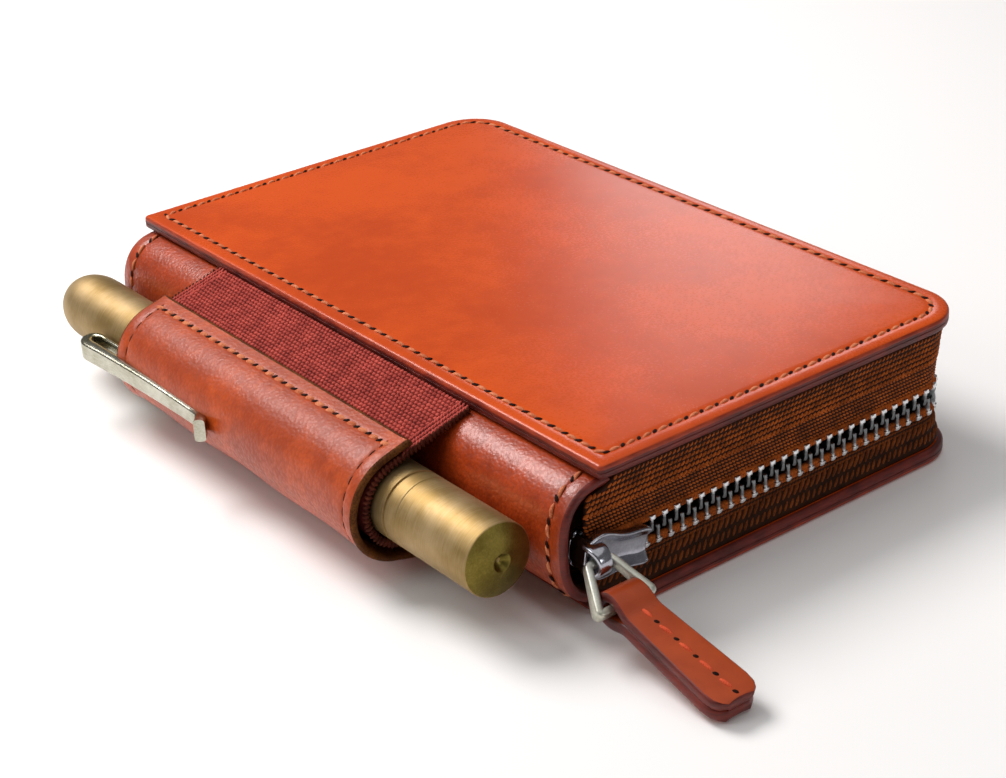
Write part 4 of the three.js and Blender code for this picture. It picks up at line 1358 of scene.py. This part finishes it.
tabStitch = grainShape("tabStitchShape", 3.2, 0.8, 0.6, dip=0.3, slant=6, rings=7)
tabHole = grainShape("tabHoleShape", 1.0, 0.75, 0.2, slant=20)
makeSlider()
makeCrown()
makeLink()
makeTab()
print("slider and pull made")


# Pen: barrel, cap and clip in fine turned and bent metal

barrel = {"tailRise": 1.2, "dimple": 1.45, "dimpleDepth": 1.3, "knob": 22, "bore": 5.0, "chamfer": 0.18}
cap = {"wall": 1.05, "dome": 9.0}


def makeBarrel():
    radius, length = pen["radius"], barrelHigh[1] - barrelLow[1]
    edge, knob = barrel["chamfer"], barrel["knob"]
    dimple, deep = barrel["dimple"], barrel["dimpleDepth"]
    profile = [(0, deep), (dimple * 0.3, deep - 0.08), (dimple * 0.72, deep * 0.55), (dimple * 0.95, 0.16)]
    profile += [(dimple + 0.14, 0.03), (dimple + 0.5, 0.1), (3.6, 0.55)]
    profile += [(radius - edge, barrel["tailRise"] - 0.06)]
    profile += [(radius - edge * 0.3, barrel["tailRise"] + 0.03), (radius, barrel["tailRise"] + edge)]
    profile += [(radius, 8), (radius, 16), (radius - 0.02, knob - 3.2), (radius - 0.1, knob - 3.1),
                (radius - 0.1, knob - 2.95), (radius, knob - 2.8), (radius, knob - 0.32),
                (radius - 0.3, knob - 0.22), (radius - 0.3, knob + 0.22), (radius, knob + 0.32),
                (radius, length - 0.25), (radius - 0.2, length)]
    profile += [(barrel["bore"], length), (barrel["bore"], knob + barrel["bore"]), (0, knob + barrel["bore"])]
    # the end face inside the chamfer takes the darker brass, painted shade
    slots = [1 if reach < radius - edge * 0.5 and distance < barrel["tailRise"] else 0
             for reach, distance in profile[1:]]
    piece = turnedPiece("brass_barrel", profile, (pen["x"], pen["z"]), pen["tail"],
                        [finishes["brass"], finishes["shadedBrassEnd"]], slots)
    put(piece, "pen", ["pen_barrel"])


def makeCap():
    radius, length = pen["radius"], capHigh[1] - capLow[1]
    shoulder = length - cap["dome"]
    bore = radius - cap["wall"]
    profile = [(0, shoulder - cap["wall"]), (bore, shoulder - cap["wall"]), (bore, 0.1)]
    profile += [(bore + 0.15, 0), (radius - 0.2, 0), (radius, 0.25), (radius, 12), (radius, 24)]
    for step in range(19):
        angle = math.pi / 2 * (1 - step / 18)
        profile.append((radius * math.sin(angle) ** 0.92, shoulder + cap["dome"] * math.cos(angle) ** 0.92))
    profile[-1] = (0, length)
    piece = turnedPiece("brass_cap", profile, (pen["x"], pen["z"]), capLow[1], [finishes["brass"]])
    put(piece, "cap", ["pen_cap"])


clip = {"width": 3.9, "thickness": 1.0, "foot": 3.6, "rise": 1.9, "root": 6.0, "loop": 1.4, "gap": 0.3,
        "loopThick": 2.3, "shaftThick": 2.0, "neckThick": 1.35}


def makeClip():
    low, high = sized("pen_clip")
    wall = clip["thickness"]
    inside = pen["radius"] + clip["gap"] + wall / 2
    outside = pen["x"] - low[0] - clip["rise"] - wall / 2
    bend = (outside - inside) / 2
    turnY = high[1] - bend - wall / 2
    path, sizes = [], []
    for y in np.linspace(turnY - clip["root"], turnY, 6):
        path.append((-inside, y))
        sizes.append((1, 0.9))
    for angle in np.linspace(0, math.pi, 19)[1:]:
        thick = 1 + (clip["loopThick"] - 1) * math.sin(angle / 2) ** 1.5
        outset = wall * (thick - 1) / 2 * math.sin(angle / 2) ** 2
        path.append((-inside - bend + bend * math.cos(angle) - outset,
                     turnY + (bend + clip["loop"]) * math.sin(angle)))
        sizes.append((thick, 0.94))
    footStart = low[1]
    for y in np.linspace(turnY, footStart + clip["foot"], 16)[1:]:
        share = (turnY - y) / (turnY - footStart)
        thick = np.interp(share, (0, 0.2, 0.85, 1),
                          (clip["loopThick"], clip["shaftThick"], clip["neckThick"], clip["neckThick"]))
        path.append((-outside - wall * (thick - 1) / 2 + 0.5 * math.sin(math.pi * share), y))
        sizes.append((thick, 0.94 - 0.26 * share ** 1.5))
    for share in np.linspace(0, 1, 9)[1:]:
        thick = clip["neckThick"] + 0.75 * math.sin(share * 2.2)
        path.append((-outside - wall * (clip["neckThick"] - 1) / 2 - clip["rise"] * share ** 1.6,
                     footStart + clip["foot"] * (1 - share)))
        sizes.append((thick, 0.68 + 0.4 * share ** 0.8))
    path = [(pen["x"] + x, y, pen["z"]) for x, y in path]
    section = roundedBox(wall, clip["width"], 0.49, 5)
    piece = sweepPiece("steel_clip", path, (0, 0, 1), section, [finishes["steel"]], sizes, smoothUpTo=45)
    put(piece, "clip", ["pen_clip"])


makeBarrel()
makeCap()
makeClip()
print("pen turned")


# Inside: linings, pen loops and slip pocket


def flatSheet(name, left, right, near, far, height, thickness, finishList, wave=0.12, step=4.0):
    rows = np.linspace(left, right, round((right - left) / step) + 1)
    columns = np.linspace(near, far, round((far - near) / step) + 1)
    grid = [[(x, y, height + wave * math.sin(x * 0.21) * math.sin(y * 0.17)) for y in columns] for x in rows]
    return sheetPiece(name, grid, thickness, finishList)


def makeLinings():
    for side in ("back", "front"):
        low, high = sized(side + "_lining")
        middle = (low[2] + high[2]) / 2
        piece = flatSheet(side + "_suede", low[0] + 0.2, high[0] - 0.2, low[1] + 0.2, high[1] - 0.2, middle,
                          high[2] - low[2], [finishes["suede"]])
        roundCorners(piece, high, cover["foreCorner"] - 3.3)
        put(piece, side, [side + "_lining"])


def roundCorners(piece, high, radius):
    # draws the two fore corners of a flat sheet in to a radius
    cx, cy = high[0] - radius, high[1] - radius
    for vertex in piece.data.vertices:
        x, y = vertex.co.x / mm - cx, abs(vertex.co.y / mm) - cy
        if x > 0 and y > 0:
            shrink = max(x, y) / math.hypot(x, y)
            vertex.co.x = (cx + x * shrink) * mm
            vertex.co.y = math.copysign((cy + y * shrink) * mm, vertex.co.y)


def makeSpineLining():
    low, high = sized("spine_lining")
    inset = spine["thickness"] + spine["gap"] + 0.3
    for half, shares, seam, bodies, start, end in spineHalves(0.02):
        grid = spineGrid(*shares, low[1], high[1], inset)
        skin = sheetPiece("spine_suede_" + half, grid, 0.6, [finishes["suede"]], seams=(seam,))
        if half == "lower":
            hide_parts("spine_lining")
        "spine_leather_" + half
        start * mm
        end * mm
        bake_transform(skin)


penLoops = {"radius": 7.5, "wall": 1.0, "leg": 5.5, "pitch": 21.0}


def makeLoops():
    low, high = sized("inner_pen_loops")
    radius, wall, leg, pitch = penLoops.values()
    floor = low[2] + wall / 2
    curve = []
    for centre in (-pitch, 0, pitch):
        left, right = centre - radius, centre + radius
        curve += [(left - 4.2, floor), (left - 1.2, floor), (left - 0.25, floor + 0.3)]
        curve += [(left, floor + 1.2), (left, low[2] + leg)]
        curve += [(centre - radius * math.cos(a), low[2] + leg + radius * math.sin(a))
                  for a in np.linspace(0, math.pi, 16)[1:-1]]
        curve += [(right, low[2] + leg), (right, floor + 1.2)]
        curve += [(right + 0.25, floor + 0.3), (right + 1.2, floor)]
    curve += [(pitch + radius + 4.2, floor)]
    columns = np.linspace(low[1], high[1], 16)
    grid = [[(x, y, z) for y in columns] for x, z in curve]
    band = sheetPiece("loop_band", grid, wall - 0.2, [finishes["webbingBase"]])
    put(band, "back", ["inner_pen_loops"])


def makePocket():
    low, high = sized("slip_pocket")
    pocket = flatSheet("inner_slip_pocket", low[0], high[0], low[1], high[1], (low[2] + high[2]) / 2,
                       high[2] - low[2], [finishes["suede"], finishes["edge"], finishes["suede"]], 0.08)
    put(pocket, "front", ["slip_pocket"])


def finishNodes():
    # the pieces whose shape is already right take only a finish
    for node, key in (("back_board", "board"), ("front_board", "board"), ("pen_section", "black"),
                      ("pen_feed", "black"), ("pen_converter", "black"), ("pen_nib", "steel")):
        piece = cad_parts[node]
        piece.data.materials.clear()
        piece.data.materials.append(finishes[key])


makeLinings()
makeSpineLining()
makeLoops()
makePocket()
finishNodes()
print("inside fitted")


# Floor

half = room["floorSize"] * mm / 2
floorMesh = bpy.data.meshes.new("floor")
corners = [(-half, -half, 0), (half, -half, 0), (half, half, 0), (-half, half, 0)]
floorMesh.from_pydata(corners, [], [(0, 1, 2, 3)])
floorMesh.materials.append(finishes["floor"])
floor = bpy.data.objects.new("floor", floorMesh)
scene.collection.objects.link(floor)
clear(stitch, hole, boldStitch, fineStitch, tabStitch, tabHole)
